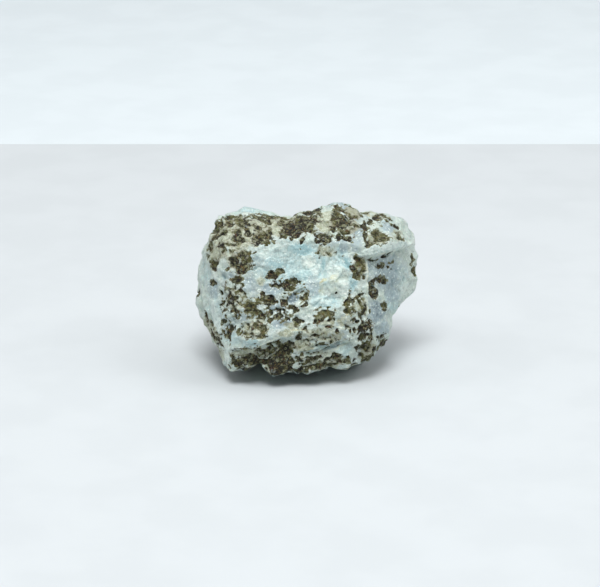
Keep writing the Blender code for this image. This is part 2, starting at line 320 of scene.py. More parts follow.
UPPER_LEFT_PATCHES = (
    (-17.0, 22.7, 0.8, 0.3, -25, 0.6, 0.1),
    (-15.3, 22.4, 1.2, 0.4, -12, 0.5, 0.3),
    (-16.4, 21.5, 0.5, 1.0, 10, 0.4, 0.4),
    (-19.6, 21.8, 0.3, 1.0, 0, 0.3, 0.7),
    (-19.9, 20.2, 0.4, 0.6, 0, 0.35, 0.2),
    (-13.8, 23.0, 0.6, 0.2, 0, 0.4, 0.3),
    (-16.1, 20.8, 0.5, 0.5, 0, 0.3, 0.6),
    (-19.2, 21.4, 0.4, 0.5, 0, 0.45, 0.2),
    (-19.8, 20.1, 0.4, 0.5, 0, 0.5, 0.1),
    (-18.0, 18.7, 0.8, 0.7, 0, 0.4, 0.3),
    (-18.3, 17.7, 0.8, 0.6, -15, 0.5, 0.2),
    (-13.4, 20.9, 1.7, 0.9, 0, 0.5, 0.3),
    (-14.8, 19.3, 1.0, 1.2, 0, 0.6, 0.1),
    (-12.5, 19.8, 1.2, 1.1, 0, 0.45, 0.2),
    (-13.0, 17.9, 1.1, 1.4, 0, 0.85, 0.05),
    (-15.8, 17.7, 0.6, 0.4, 0, 0.45, 0.2),
    (-14.1, 15.4, 1.2, 0.9, 0, 0.4, 0.1),
    (-19.1, 14.9, 0.8, 0.7, 0, 0.6, 0.25),
    (-10.3, 21.0, 0.5, 0.2, 25, 0.6, 0),
)
RIGHT_CREST_PATCHES = (
    (1.0, 29.9, 2.2, 1.0, 8, 0.95, 0.08),
    (1.3, 27.9, 1.1, 0.7, 0, 0.8, 0.05),
    (6.1, 28.4, 1.1, 2.0, 0, 0.6, 0.1),
    (7.5, 27.3, 1.4, 1.7, -25, 0.6, 0.15),
    (6.9, 29.7, 1.4, 0.5, -15, 0.35, 0.2),
    (5.3, 25.9, 0.4, 0.8, 0, 0.6, 0.1),
    (7.9, 27.7, 2.0, 1.0, -42, 0.6, 0.2),
    (1.1, 26.5, 1.2, 1.0, 0, 0.5, 0.1),
    (2.0, 26.8, 1.1, 1.1, 0, 0.8, 0.12),
    (2.9, 28.7, 0.7, 0.9, 0, 0.45, 0.3),
    (6.5, 30.2, 0.6, 0.5, 0, 0.3, 0.2),
    (9.0, 28.8, 1.8, 0.2, -42, 0.5, 0.1),
    (9.4, 29.7, 2.0, 1.3, -30, 0.2, 0.5),
    (12.2, 29.2, 0.8, 0.2, -10, 0.3, 0.2),
    (15.7, 28.7, 1.3, 0.4, -14, 0.5, 0.2),
    (17.5, 28.1, 0.7, 0.3, -25, 0.45, 0.2),
    (4.5, 30.6, 0.8, 0.2, 20, 0.3, 0.2),
    (10.9, 29.0, 1.2, 0.2, -52, 0.6, 0.1),
    (10.1, 26.5, 1.0, 0.6, -30, 0.6, 0.2),
    (9.2, 25.2, 0.6, 0.4, -30, 0.5, 0.2),
    (10.0, 28.5, 0.8, 0.2, -48, 0.6, 0.1),
    (7.9, 29.5, 1.0, 0.2, -40, 0.6, 0.1),
    (11.9, 26.3, 0.7, 1.1, -10, 0.8, 0.15),
    (13.0, 27.3, 0.6, 0.7, 0, 0.8, 0.05),
    (14.5, 28.0, 0.9, 0.8, 0, 0.7, 0.25),
    (16.4, 27.6, 0.9, 0.7, -25, 0.5, 0.3),
    (17.1, 26.8, 0.6, 0.4, -20, 0.6, 0.2),
    (18.5, 26.2, 0.8, 0.4, -45, 0.7, 0.1),
    (19.4, 24.1, 1.3, 0.4, -50, 0.5, 0.15),
    (15.3, 24.3, 2.0, 1.0, -12, 0.4, 0.25),
    (14.5, 25.4, 0.6, 0.4, 0, 0.4, 0.1),
    (13.0, 22.8, 1.3, 0.7, 15, 0.5, 0.2),
    (12.1, 24.2, 0.5, 1.6, 5, 0.65, 0.15),
    (8.1, 25.2, 1.8, 0.9, -25, 0, 0.7),
    (8.5, 23.9, 1.2, 0.5, -25, 0.8, 0.1),
    (6.6, 24.2, 0.6, 0.8, 0, 0.8, 0.05),
    (3.3, 24.4, 1.7, 0.5, -3, 0.8, 0.1),
    (3.9, 23.4, 1.5, 0.6, -5, 0.75, 0.25),
    (2.2, 23.4, 0.4, 0.7, 0, 0.75, 0.3),
    (3.9, 22.6, 0.4, 0.3, 0, 0.7, 0.1),
    (7.6, 20.5, 0.3, 0.2, 0, 0.5, 0),
)
SIDE_FACE_PATCHES = (
    (13.5, 19.7, 1.2, 0.2, 5, 0.6, 0),
    (15.7, 20.2, 0.7, 0.2, 15, 0.6, 0.1),
    (17.1, 21.0, 0.7, 0.3, 12, 0.65, 0.1),
    (15.1, 18.2, 0.7, 0.7, 0, 0.5, 0.5),
    (16.6, 18.0, 0.3, 0.3, 0, 0.8, 0),
    (17.5, 17.7, 0.5, 0.3, 15, 0.7, 0.1),
    (17.5, 19.1, 1.2, 0.4, 20, 0, 0.9),
    (21.5, 19.5, 0.4, 0.6, 20, 0.4, 0.3),
    (21.9, 17.3, 0.5, 1.1, 0, 0.2, 0.6),
    (14.6, 15.4, 1.7, 0.7, 15, 0.7, 0.1),
    (13.3, 14.1, 0.6, 1.2, 0, 0.7, 0.1),
    (13.8, 12.9, 1.0, 1.1, 0, 0.95, 0.05),
    (15.9, 15.2, 0.7, 0.6, 50, 0.55, 0.1),
    (15.8, 10.3, 0.6, 0.8, 0, 0.3, 0.4),
    (15.9, 9.4, 0.6, 0.2, 0, 0.7, 0),
    (12.8, 9.1, 0.3, 0.4, 0, 0.6, 0),
)
RIDGE_PATCHES = (
    (10.4, 19.8, 1.0, 0.8, 0, 0.35, 0.15),
    (9.5, 18.0, 0.7, 0.7, 0, 0.8, 0.05),
    (11.0, 18.3, 1.2, 1.6, 0, 0.1, 0.2),
    (10.3, 16.7, 1.0, 1.1, 0, 0.1, 0.15),
    (11.7, 16.0, 0.4, 0.6, 10, 0.2, 0.3),
    (10.6, 12.1, 1.5, 0.4, 28, 0.5, 0.2),
    (8.6, 11.0, 0.7, 1.1, 0, 0.55, 0.2),
    (10.6, 10.4, 1.4, 1.6, 0, 0, 0.9),
    (11.5, 9.1, 0.5, 1.0, -20, 0.7, 0.2),
    (8.3, 9.1, 0.8, 0.7, 0, 0.2, 0.4),
)
BASIN_EDGE_PATCHES = (
    (-7.0, 16.5, 1.1, 0.9, 15, 0.8, 0.15),
    (-5.3, 17.1, 0.9, 0.7, 10, 0.3, 0.3),
    (-4.2, 14.1, 0.8, 1.2, 0, 0.75, 0.15),
    (-2.9, 15.4, 1.2, 0.7, 5, 0.5, 0.3),
    (-2.9, 13.8, 0.6, 0.6, 0, 0.35, 0.3),
    (-8.8, 12.3, 0.7, 0.9, 0, 0.4, 0.6),
    (-7.2, 11.5, 1.1, 0.8, 0, 0.85, 0.15),
    (-0.8, 12.2, 1.3, 0.9, 0, 0.5, 0.3),
    (-0.2, 10.7, 0.7, 0.6, 0, 0.7, 0.1),
    (-4.5, 10.7, 0.8, 0.6, 0, 0.85, 0.05),
    (-3.3, 10.1, 0.7, 0.5, 0, 0.55, 0.3),
    (4.0, 8.5, 1.4, 0.9, 0, 0.25, 0.2),
    (2.6, 7.2, 0.9, 0.7, 0, 0.5, 0.25),
    (4.9, 7.4, 0.4, 0.5, 0, 0.5, 0.2),
    (6.3, 12.8, 0.2, 0.2, 0, 0.7, 0),
)
MIDDLE_LEFT_PATCHES = (
    (-7.6, 7.0, 0.8, 0.5, 0, 0.4, 0.3),
    (-9.7, 3.9, 1.7, 0.4, 3, 0.45, 0.05),
    (-9.4, 7.9, 1.0, 0.7, -40, 0.5, 0.1),
    (-17.3, 12.8, 0.4, 0.6, 0, 0.6, 0.2),
    (-15.2, 11.6, 0.8, 0.9, 0, 0.8, 0.35),
    (-13.4, 13.4, 0.6, 0.4, 0, 0.5, 0.4),
    (-12.8, 14.4, 0.4, 0.3, 0, 0.5, 0.3),
    (-14.1, 12.0, 0.6, 0.4, 0, 0.4, 0.4),
    (-17.5, 10.0, 0.3, 0.6, 0, 0.65, 0.1),
    (-16.7, 9.3, 0.5, 0.2, 0, 0.6, 0.1),
    (-16.2, 10.5, 0.4, 0.2, 0, 0.6, 0.1),
    (-14.5, 9.3, 1.2, 0.7, 0, 0.5, 0.35),
    (-11.2, 10.3, 1.4, 1.1, 0, 0.25, 0.15),
    (-10.2, 9.0, 1.1, 0.9, 0, 0.15, 0.15),
    (-12.0, 9.2, 0.8, 0.6, 0, 0.45, 0.3),
    (-5.8, 7.9, 1.0, 0.8, 0, 0.65, 0.3),
    (-7.4, 8.6, 0.5, 0.9, 0, 0.5, 0.3),
    (-4.1, 8.6, 0.5, 0.4, 0, 0.5, 0.3),
    (-1.9, 6.8, 1.0, 0.8, 0, 0.6, 0.1),
    (-0.7, 6.8, 0.5, 0.3, 0, 0.4, 0.4),
    (-9.4, 7.5, 0.8, 0.9, 20, 0.45, 0.1),
    (-16.8, 7.1, 0.6, 0.8, 0, 0.35, 0.8),
    (-15.5, 4.7, 0.4, 1.8, 0, 0.55, 0.05),
    (-14.6, 5.6, 0.2, 0.5, 0, 0.6, 0.1),
    (-12.3, 5.5, 1.0, 1.2, 0, 0.4, 0.1),
    (-9.7, 5.3, 1.8, 1.6, 0, 0.4, 0.25),
)
LOWER_RIGHT_PATCHES = (
    # Partly painted shade: this row and the next lay dim basalt along the bottom rim, where the stone
    # turns under into shade.
    (4.9, -1.7, 2.4, 0.3, 0, 0.3, 0.4),
    (9.4, -2.0, 1.8, 0.3, 20, 0.3, 0.4),
    (11.5, 5.7, 1.0, 1.0, 0, 1, 0.05),
    (12.8, 6.5, 0.5, 1.0, 0, 0.8, 0.1),
    (10.2, 7.0, 0.6, 0.4, 0, 0.6, 0.2),
    (11.4, 3.7, 0.9, 1.0, 0, 0.5, 0.15),
    (12.0, 2.0, 1.2, 1.2, 0, 0.4, 0.2),
    (13.2, 3.9, 0.4, 0.8, 0, 0.7, 0.3),
    (15.9, 4.6, 0.5, 0.4, 0, 0.6, 0.1),
    (14.8, 3.1, 0.5, 0.6, 0, 0.6, 0.1),
    (15.7, 2.6, 0.8, 0.5, 55, 0.55, 0.1),
    (13.6, 1.2, 1.2, 0.8, 35, 0.4, 0.6),
    (10.4, 1.4, 0.6, 0.6, 0, 0.4, 0.5),
    (12.4, -0.4, 1.8, 0.5, 35, 0.45, 0.4),
    (9.0, 5.1, 0.2, 0.4, 0, 0.8, 0),
    (10.0, 5.3, 0.3, 0.4, 0, 0.7, 0.1),
    (4.5, 5.8, 0.6, 0.4, 0, 0.7, 0.1),
    (6.3, 5.2, 0.5, 0.4, 0, 0.55, 0.2),
    (1.8, 4.3, 0.8, 0.3, 0, 0.3, 0.5),
    (3.0, 2.2, 1.2, 0.7, 5, 0.45, 0.65),
    (3.9, 1.2, 1.2, 0.1, 8, 0.2, 0.2),
    (1.8, 0.5, 2.9, 0.1, 3, 0.4, 0.2),
    (1.4, -0.4, 1.6, 0.4, 12, 0.6, 0.3),
    (0.8, -1.8, 2.0, 0.4, 10, 0.6, 0.3),
    (-3.7, -2.9, 1.8, 0.6, 0, 0.7, 0.15),
    (2.4, -2.2, 1.4, 0.3, 10, 0.6, 0.3),
    (3.9, -0.6, 1.6, 0.4, 18, 0.5, 0.2),
    (-0.6, -2.6, 1.2, 0.3, 5, 0.5, 0.3),
    (6.2, 0.0, 1.2, 0.7, 0, 0.6, 0.1),
    (8.1, -1.1, 1.6, 0.5, 5, 0.5, 0.4),
)
LOWER_LEFT_PATCHES = (
    # Partly painted shade: this row lays dim basalt along the bottom rim, where the stone turns under into
    # shade.
    (-12.2, -2.6, 2.2, 0.7, 5, 0.4, 0.2),
    (-6.1, -3.5, 2.9, 1.3, 0, 0.8, 0.1),
    (-1.2, -3.2, 2.0, 0.6, 5, 0.6, 0.2),
    (-12.8, 1.4, 1.5, 0.2, -3, 0.75, 0.05),
    (-14.8, -0.1, 0.3, 0.7, 0, 0.85, 0),
    (-13.2, -1.1, 1.8, 0.6, 0, 0.6, 0.1),
    (-11.6, -0.9, 2.4, 0.9, 0, 0.6, 0.1),
    (-14.1, -1.5, 0.9, 0.5, 0, 0.6, 0.3),
    (-9.2, 0.9, 1.4, 0.6, 12, 0.6, 0.1),
    (-7.7, 1.4, 0.8, 0.5, 30, 0.5, 0.1),
    (-6.3, 3.0, 1.4, 0.5, 14, 0.4, 0.2),
    (-1.5, 3.8, 0.8, 0.5, 0, 0.6, 0.1),
    (-3.4, 2.6, 1.0, 0.7, 0, 0.45, 0.2),
    (-5.1, 0.8, 2.0, 1.6, 0, 0.6, 0.1),
    (-3.7, 1.0, 1.2, 1.2, 0, 0.55, 0.2),
    (-5.9, -2.0, 2.4, 1.7, 0, 0.7, 0.12),
    (-3.7, -1.2, 1.6, 1.2, 0, 0.65, 0.2),
    (-8.8, -1.0, 1.4, 0.7, 0, 0.6, 0.1),
    (-1.2, -0.9, 0.8, 0.3, 10, 0.6, 0.2),
    (-10.8, -1.9, 1.2, 0.4, 3, 0.5, 0.3),
    (-15.5, -2.0, 0.6, 0.3, -60, 0.5, 0.2),
)
LEFT_EDGE_PATCHES = (
    (-21.7, 12.8, 0.2, 0.9, -25, 0.6, 0),
    (-20.2, 8.5, 0.3, 1.7, 20, 0.75, 0.05),
    (-18.8, 4.1, 0.5, 1.0, 20, 0.85, 0.1),
    (-17.6, 3.1, 0.4, 0.9, 25, 0.75, 0.1),
)
BASALT_PATCHES = (
    CREST_PATCHES + UPPER_LEFT_PATCHES + RIGHT_CREST_PATCHES + SIDE_FACE_PATCHES + RIDGE_PATCHES
    + BASIN_EDGE_PATCHES + MIDDLE_LEFT_PATCHES + LOWER_RIGHT_PATCHES + LOWER_LEFT_PATCHES
    + LEFT_EDGE_PATCHES
)

# Where small grains of basalt crowd: (across, up, half width, half height, turn in degrees, how densely).
SPECKLE_ZONES = (
    (9.6, 29.1, 2.0, 1.4, -30, 0.6),
    (9.0, 5.5, 1.4, 1.8, 0, 0.45),
    (-10.4, 25.2, 8.1, 2.9, 0, 0.2),
    (-0.8, 27.3, 4.1, 2.4, 0, 0.25),
    (6.9, 27.3, 4.1, 3.7, 0, 0.25),
    (14.1, 24.6, 3.3, 2.9, 0, 0.35),
    (-18.5, 20.6, 1.6, 3.3, 0, 0.3),
    (-13.4, 19.1, 2.9, 3.3, 0, 0.35),
    (-15.1, 11.4, 3.1, 3.7, 0, 0.6),
    (-10.4, 9.8, 2.9, 2.4, 0, 0.55),
    (-6.9, 9.0, 2.9, 2.4, 0, 0.5),
    (-3.3, 8.6, 2.0, 2.0, 0, 0.55),
    (-6.3, 15.5, 2.4, 1.6, 0, 0.25),
    (-3.3, 13.4, 2.9, 2.4, 0, 0.35),
    (-11.4, 5.5, 3.3, 1.8, 0, 0.35),
    (-16.1, 6.3, 1.2, 2.9, 0, 0.5),
    (-7.3, 0.2, 6.9, 2.4, 0, 0.6),
    (1.8, -1.2, 4.1, 1.6, 0, 0.7),
    (7.9, -1.0, 2.4, 1.0, 0, 0.5),
    (3.9, 4.3, 5.3, 2.4, -5, 0.25),
    (3.9, 8.3, 2.4, 1.8, 0, 0.35),
    (10.0, 10.4, 2.2, 2.9, 0, 0.55),
    (10.4, 17.9, 1.4, 2.4, 0, 0.4),
    (12.0, 4.3, 1.8, 4.1, 0, 0.6),
    (15.5, 2.9, 1.4, 2.0, 0, 0.5),
    (13.0, 0.6, 2.6, 1.4, 38, 0.8),
    (13.8, 14.1, 1.0, 1.8, 0, 0.35),
    (3.9, 21.4, 2.2, 1.4, 0, 0.2),
    (21.6, 18.5, 0.8, 2.4, 0, 0.4),
    (-18.3, 4.3, 1.0, 3.3, 26, 0.5),
)

# Pale spots that the basalt leaves free: (across, up, half width, half height, turn in degrees).
PALE_PATCHES = (
    (-12.8, 3.6, 1.3, 0.6, 0),
    (-16.3, 21.0, 0.4, 0.2, 0),
    (-20.1, 22.2, 0.4, 0.6, 0),
    (-13.8, 0.8, 0.6, 0.2, 0),
    (-0.8, 10.8, 0.4, 0.2, 20),
    (-9.0, 15.3, 0.8, 1.2, 0),
    (-15.7, 14.2, 0.8, 0.5, 0),
    (-10.8, 17.9, 0.7, 0.7, 0),
    (-12.5, 11.5, 0.5, 0.6, 0),
    (10.4, 10.1, 0.5, 0.8, 20),
    (-11.8, 23.7, 0.8, 0.3, -20),
    (-20.8, 19.1, 0.5, 4.1, 0),
    (-20.3, 22.2, 0.4, 1.2, 0),
    (-11.4, 30.1, 5.5, 0.9, -3),
    (-6.3, 25.9, 0.7, 1.9, 0),
    (-9.8, 27.2, 1.6, 0.3, -25),
    (-10.8, 25.7, 0.4, 0.5, 0),
    (-14.9, 26.0, 1.6, 0.2, 0),
    (-12.7, 25.1, 0.2, 0.9, 0),
    (-15.6, 24.5, 0.6, 0.9, 0),
    (-16.3, 23.8, 1.0, 0.6, 0),
    (-8.1, 25.8, 1.2, 0.2, 20),
    (-12.4, 22.0, 1.8, 0.5, 5),
    (-18.2, 21.0, 0.9, 1.0, 0),
    (-16.5, 19.5, 0.6, 0.8, 0),
    (-14.3, 20.8, 0.4, 0.3, 0),
    (-14.7, 17.9, 0.4, 0.4, 0),
    (-16.8, 27.2, 0.2, 0.6, 0),
    (4.1, 28.9, 1.0, 1.6, 0),
    (3.3, 26.1, 1.5, 0.9, 0),
    (9.3, 29.6, 1.2, 0.7, -35),
    (10.0, 27.5, 0.4, 0.4, 0),
    (10.2, 25.0, 1.0, 0.8, -30),
    (10.8, 22.4, 1.3, 1.8, 0),
    (14.5, 26.3, 0.9, 0.6, -20),
    (17.1, 25.5, 1.6, 0.8, -35),
    (13.8, 23.7, 0.5, 0.4, 0),
    (20.2, 26.5, 1.0, 1.6, 0),
    (16.1, 21.9, 4.5, 0.8, 8),
    (7.3, 22.0, 1.2, 1.2, 0),
    (-1.0, 12.3, 0.5, 0.3, 0),
    (-12.3, 5.5, 0.5, 0.7, 0),
    (-10.0, 5.1, 0.5, 0.4, 0),
    (-17.0, 9.9, 0.3, 0.4, 0),
    (14.3, 14.4, 0.3, 0.4, 0),
    (-1.7, 10.8, 0.4, 0.7, 0),
    (-12.2, 0.8, 2.2, 0.5, -4),
    (-12.4, 2.7, 2.6, 0.9, 3),
)

# Zones of the pale minerals: (across, up, half width, half height, turn in degrees, strength).
BLUE_ZONES = (
    (6.9, 19.1, 1.2, 1.2, -30, 0.6),
    (-1.6, 20.8, 1.0, 1.0, 20, 0.6),
    (1.8, 13.4, 1.8, 2.0, 0, 0.5),
    (-2.0, 18.3, 10.2, 5.7, 0, 0.55),
    (-1.2, 21.4, 3.3, 1.6, 0, 0.9),
    (-6.1, 19.1, 2.9, 1.6, 0, 0.65),
    (-0.4, 16.1, 2.6, 1.6, 15, 0.85),
    # Partly painted shade: this strong narrow row darkens the crease that runs here to deep blue.
    (3.2, 17.9, 0.6, 2.4, -12, 1.2),
    (3.9, 15.3, 0.8, 0.8, 0, 0.6),
    (6.9, 20.8, 2.4, 1.6, 0, 0.5),
    (9.4, 14.7, 1.2, 2.2, 0, 0.65),
    (8.1, 18.9, 1.0, 1.6, 0, 0.9),
    (3.9, 11.0, 3.3, 1.6, 0, 0.65),
    (17.3, 22.2, 4.1, 1.2, 8, 0.45),
    (17.5, 11.4, 2.4, 2.9, 0, 0.5),
    (-15.1, 3.5, 2.4, 1.4, 0, 0.4),
    (-11.4, 2.6, 2.4, 1.2, 10, 0.5),
    (-11.4, 29.7, 4.9, 1.2, 0, 0.5),
    (7.9, 1.2, 2.0, 1.8, 0, 0.45),
    (16.7, 26.5, 2.4, 1.4, -30, 0.4),
    (-18.7, 9.4, 1.8, 4.1, 10, 0.35),
    (-20.4, 16.5, 1.0, 2.4, 0, 0.4),
    (-5.7, 6.9, 2.0, 1.2, 0, 0.4),
    (19.1, 15.9, 2.0, 2.9, 0, 0.3),
)
WHITE_ZONES = (
    (-16.3, 21.1, 0.8, 0.6, 0, 0.6),
    (4.7, 18.3, 0.8, 1.4, -35, 0.7),
    (-9.2, 15.9, 0.8, 1.0, 0, 0.6),
    (-11.4, 20.8, 1.0, 0.6, 0, 0.4),
    (-16.1, 0.8, 1.4, 2.2, 0, 0.8),
    (2.0, 17.5, 6.5, 4.1, 0, 0.4),
    (-5.3, 20.8, 4.9, 2.0, 0, 0.5),
    (0.6, 19.1, 1.8, 1.4, 0, 1.1),
    (2.2, 17.5, 1.6, 1.6, 0, 0.7),
    (5.7, 17.1, 1.6, 2.2, 0, 0.6),
    (7.5, 14.1, 1.6, 1.8, 0, 0.7),
    (3.5, 11.2, 2.4, 1.0, 0, 0.6),
    (-8.3, 20.4, 1.2, 1.2, 0, 0.6),
    (-5.7, 22.2, 2.4, 0.8, 0, 0.7),
    # Partly painted light: this row and the next four brighten the shelf's lip, which catches the light
    # from above, and the right edge, which turns away from it.
    (16.1, 22.4, 4.1, 0.9, 8, 1.7),
    (13.2, 21.6, 2.0, 0.6, 10, 0.9),
    (20.4, 13.4, 2.0, 2.4, 0, 0.6),
    (19.5, 22.8, 2.9, 1.0, 10, 0.9),
    (21.4, 21.6, 1.4, 1.8, 0, 1.1),
    (0.4, 11.0, 0.6, 0.6, 0, 0.7),
    (-1.6, 10.8, 0.5, 0.6, 0, 0.4),
    (-0.4, 15.1, 1.2, 0.4, -20, 0.7),
    (-4.3, 4.7, 1.6, 0.8, 0, 0.9),
    (-13.4, 2.6, 2.0, 1.0, 0, 0.4),
    (8.3, 0.8, 1.6, 1.6, 0, 0.35),
    (9.0, 20.0, 1.2, 1.4, 0, 0.5),
    (-16.7, 19.5, 0.8, 1.0, 0, 0.8),
    (-14.9, 26.1, 1.6, 0.4, 0, 0.5),
    (-12.7, 25.1, 0.2, 1.0, 0, 0.8),
    (-17.0, 27.3, 0.2, 0.8, 0, 0.8),
    (4.9, 23.4, 1.0, 0.6, 0, 0.4),
    # Partly painted light: this row brightens the left face, which is turned from the light.
    (-18.1, 7.7, 1.0, 4.1, 18, 0.8),
    (9.0, 3.3, 1.4, 0.3, 35, 0.7),
)
SLATE_ZONES = (
    (-9.0, 10.4, 5.3, 3.7, 0, 0.3),
    (-11.4, 29.7, 4.9, 1.0, 0, 0.25),
    (7.9, 4.3, 1.2, 1.6, 0, 0.4),
    (10.2, 25.5, 2.0, 2.0, 0, 0.9),
    (18.3, 27.9, 2.0, 1.4, -20, 0.3),
    (1.4, 14.1, 2.0, 2.4, 0, 0.6),
    (9.4, 28.9, 2.2, 1.8, -30, 0.8),
    (12.6, 0.8, 2.4, 1.4, 40, 0.8),
    (7.9, 7.1, 2.4, 1.4, 0, 0.45),
    (3.9, 23.2, 2.4, 1.0, 0, 0.4),
    (12.0, 28.7, 1.6, 1.0, 0, 0.5),
    (-11.4, 14.7, 2.2, 2.4, 0, 0.55),
    (-6.9, 13.4, 2.6, 1.8, 0, 0.8),
    # Partly painted shade: this strong row darkens the groove of the crease that runs here to deep slate.
    (-2.6, 11.8, 1.6, 1.0, 40, 1.3),
    (-5.7, 9.8, 2.2, 1.0, 0, 0.9),
    (7.7, 22.4, 1.2, 1.4, 0, 0.65),
    (10.4, 23.0, 1.4, 1.8, 0, 0.6),
    (13.6, 21.2, 1.6, 0.8, 0, 0.4),
    (16.3, 16.7, 4.1, 4.1, 0, 0.8),
    (13.0, 17.9, 1.0, 2.0, 0, 0.6),
    (-15.9, 16.5, 1.8, 1.4, 0, 0.5),
    (3.9, 3.9, 5.3, 1.6, -2, 0.45),
    (3.9, -1.6, 5.3, 1.6, 8, 0.6),
    (12.2, 2.0, 1.6, 2.4, 0, 0.5),
    (-16.1, 6.3, 1.8, 3.3, 0, 0.5),
    (-2.9, 14.3, 2.0, 0.8, 0, 0.6),
    (14.3, 9.0, 2.0, 2.4, 0, 0.95),
    (15.7, 5.7, 1.6, 2.0, 0, 0.7),
    (-19.1, 13.8, 1.6, 2.4, 0, 0.6),
    (3.9, 6.3, 4.1, 0.8, 0, 0.4),
    (6.9, 23.0, 1.8, 0.8, 0, 0.6),
    (17.5, 12.6, 2.4, 2.0, 0, 0.7),
    (1.6, 13.8, 1.2, 1.6, 0, 0.4),
    (-12.4, 7.7, 3.3, 1.8, 0, 0.5),
    (-1.2, 7.7, 1.8, 1.4, 0, 0.35),
    (4.9, 1.4, 2.9, 0.8, 12, 0.4),
    (9.0, 29.3, 1.8, 1.0, -35, 0.95),
    (6.5, 30.5, 2.9, 0.8, 0, 0.6),
    (-4.9, 6.7, 2.4, 1.0, 0, 0.9),
    (-7.7, 5.1, 1.6, 1.2, 0, 0.35),
    (16.7, 26.1, 1.8, 1.0, -30, 0.8),
    (-16.5, 11.4, 2.0, 2.4, 0, 0.35),
    (15.1, 5.3, 1.6, 1.6, 0, 0.6),
    (-9.8, 19.1, 2.0, 1.6, 0, 0.35),
)
CRUST_ZONES = (
    (-9.0, 15.3, 1.0, 1.4, 15, 0.55),
    (-2.9, 6.1, 2.0, 0.8, 0, 0.6),
    (3.9, 6.7, 2.4, 1.0, 0, 0.6),
    (3.3, -1.4, 5.3, 1.6, 6, 0.8),
    (9.6, 29.1, 2.0, 1.6, -30, 0.9),
    (12.6, 0.8, 2.4, 1.2, 40, 0.9),
    (7.9, 7.1, 2.4, 1.4, 0, 0.5),
    (-12.6, 0.6, 3.5, 0.8, 0, 0.9),
    (2.9, -2.2, 4.5, 0.8, 0, 0.6),
    (14.1, 28.5, 2.9, 0.8, -12, 0.6),
    (-13.4, 25.2, 6.9, 3.5, 0, 1),
    (-18.1, 22.0, 2.4, 3.3, 0, 1),
    (-14.3, 20.0, 3.1, 2.9, 0, 0.6),
    (-4.3, 26.5, 5.3, 2.4, 0, 0.9),
    (4.1, 27.3, 2.6, 2.9, 0, 1),
    (9.4, 26.5, 2.0, 1.8, -30, 0.7),
    (3.9, 21.4, 2.2, 1.4, 0, 0.6),
    (14.7, 24.0, 2.4, 1.6, 0, 0.8),
    (18.7, 24.8, 1.6, 2.0, -45, 0.5),
    (-9.0, 11.4, 2.9, 1.8, 0, 0.35),
    (-14.5, 11.8, 2.9, 2.9, 0, 0.55),
    (-10.2, 5.5, 3.1, 2.2, 0, 0.7),
    (-4.3, 4.7, 1.8, 0.8, 0, 0.9),
    (-0.8, 2.2, 2.9, 1.4, 0, 0.9),
    (-9.0, 0.4, 5.3, 1.4, 0, 0.8),
    (3.9, 4.3, 5.3, 1.8, -5, 0.6),
    (2.9, -0.4, 4.5, 1.6, 10, 0.5),
    (11.0, 10.4, 2.0, 2.4, 0, 0.5),
    (12.4, 2.2, 2.0, 2.4, 0, 0.5),
    (-19.1, 5.3, 1.2, 3.3, 25, 1.2),
    (-17.3, 0.8, 1.0, 2.0, 25, 0.6),
    (11.0, 18.3, 1.8, 2.4, 0, 0.6),
)
OCHRE_ZONES = (
    (5.7, 16.3, 1.8, 1.6, 0, 0.25),
    (-8.9, 15.3, 1.1, 1.4, 10, 0.5),
    (-4.6, 4.6, 1.0, 0.8, 0, 0.6),
    (-1.2, 5.2, 4.1, 0.3, -1, 0.7),
    (5.6, 16.1, 0.7, 0.6, 0, 0.9),
    (5.3, 15.7, 1.8, 1.2, 0, 0.45),
    (3.5, 15.3, 1.2, 0.3, 35, 0.8),
    (3.1, 13.4, 1.0, 1.6, 0, 0.4),
    (6.1, 13.0, 1.2, 1.2, 0, 0.35),
    (11.8, 6.6, 0.3, 0.3, 0, 1),
    (12.7, 4.4, 0.4, 0.4, 0, 1),
    (9.4, 4.5, 0.3, 0.3, 0, 1),
    (8.5, 8.7, 0.6, 0.5, 0, 0.6),
    (-17.3, 0.4, 0.8, 1.6, 25, 0.8),
    (-19.3, 5.9, 0.5, 1.0, 25, 0.8),
    (-18.3, 20.4, 0.6, 0.4, 0, 0.6),
    (-10.3, 9.0, 0.6, 0.6, 0, 0.6),
    (4.5, 2.0, 0.5, 0.4, 0, 0.5),
    (-1.2, 3.3, 0.8, 1.0, 0, 0.3),
    (3.3, 6.3, 1.0, 0.2, 0, 0.6),
)

# Creases where two broken faces meet in a groove: lines of (across, up).
CREASES = (
    ((3.05, 20.0), (3.4, 18.3), (3.9, 15.8)),
    ((9.2, 15.0), (10.2, 13.2), (11.6, 11.8)),
    ((-3.9, 11.2), (-2.6, 12.4), (-1.0, 13.6)),
    ((7.0, 20.2), (8.4, 18.6), (8.8, 17.2)),
    ((1.6, 10.0), (3.2, 11.6), (6.0, 11.6)),
    ((12.6, 15.2), (13.4, 12.2), (14.4, 10.4)),
    ((-11.2, 17.6), (-9.6, 18.2), (-7.2, 17.0)),
    ((-0.4, 3.1), (3.2, 3.7), (5.0, 3.6)),
    ((1.4, 1.8), (5.2, 2.0), (6.8, 2.7)),
    ((-1.0, 0.7), (3.2, 1.1), (6.4, 1.8), (8.8, 3.0)),
    ((-15.6, 8.6), (-14.8, 6.6), (-14.9, 3.6)),
)

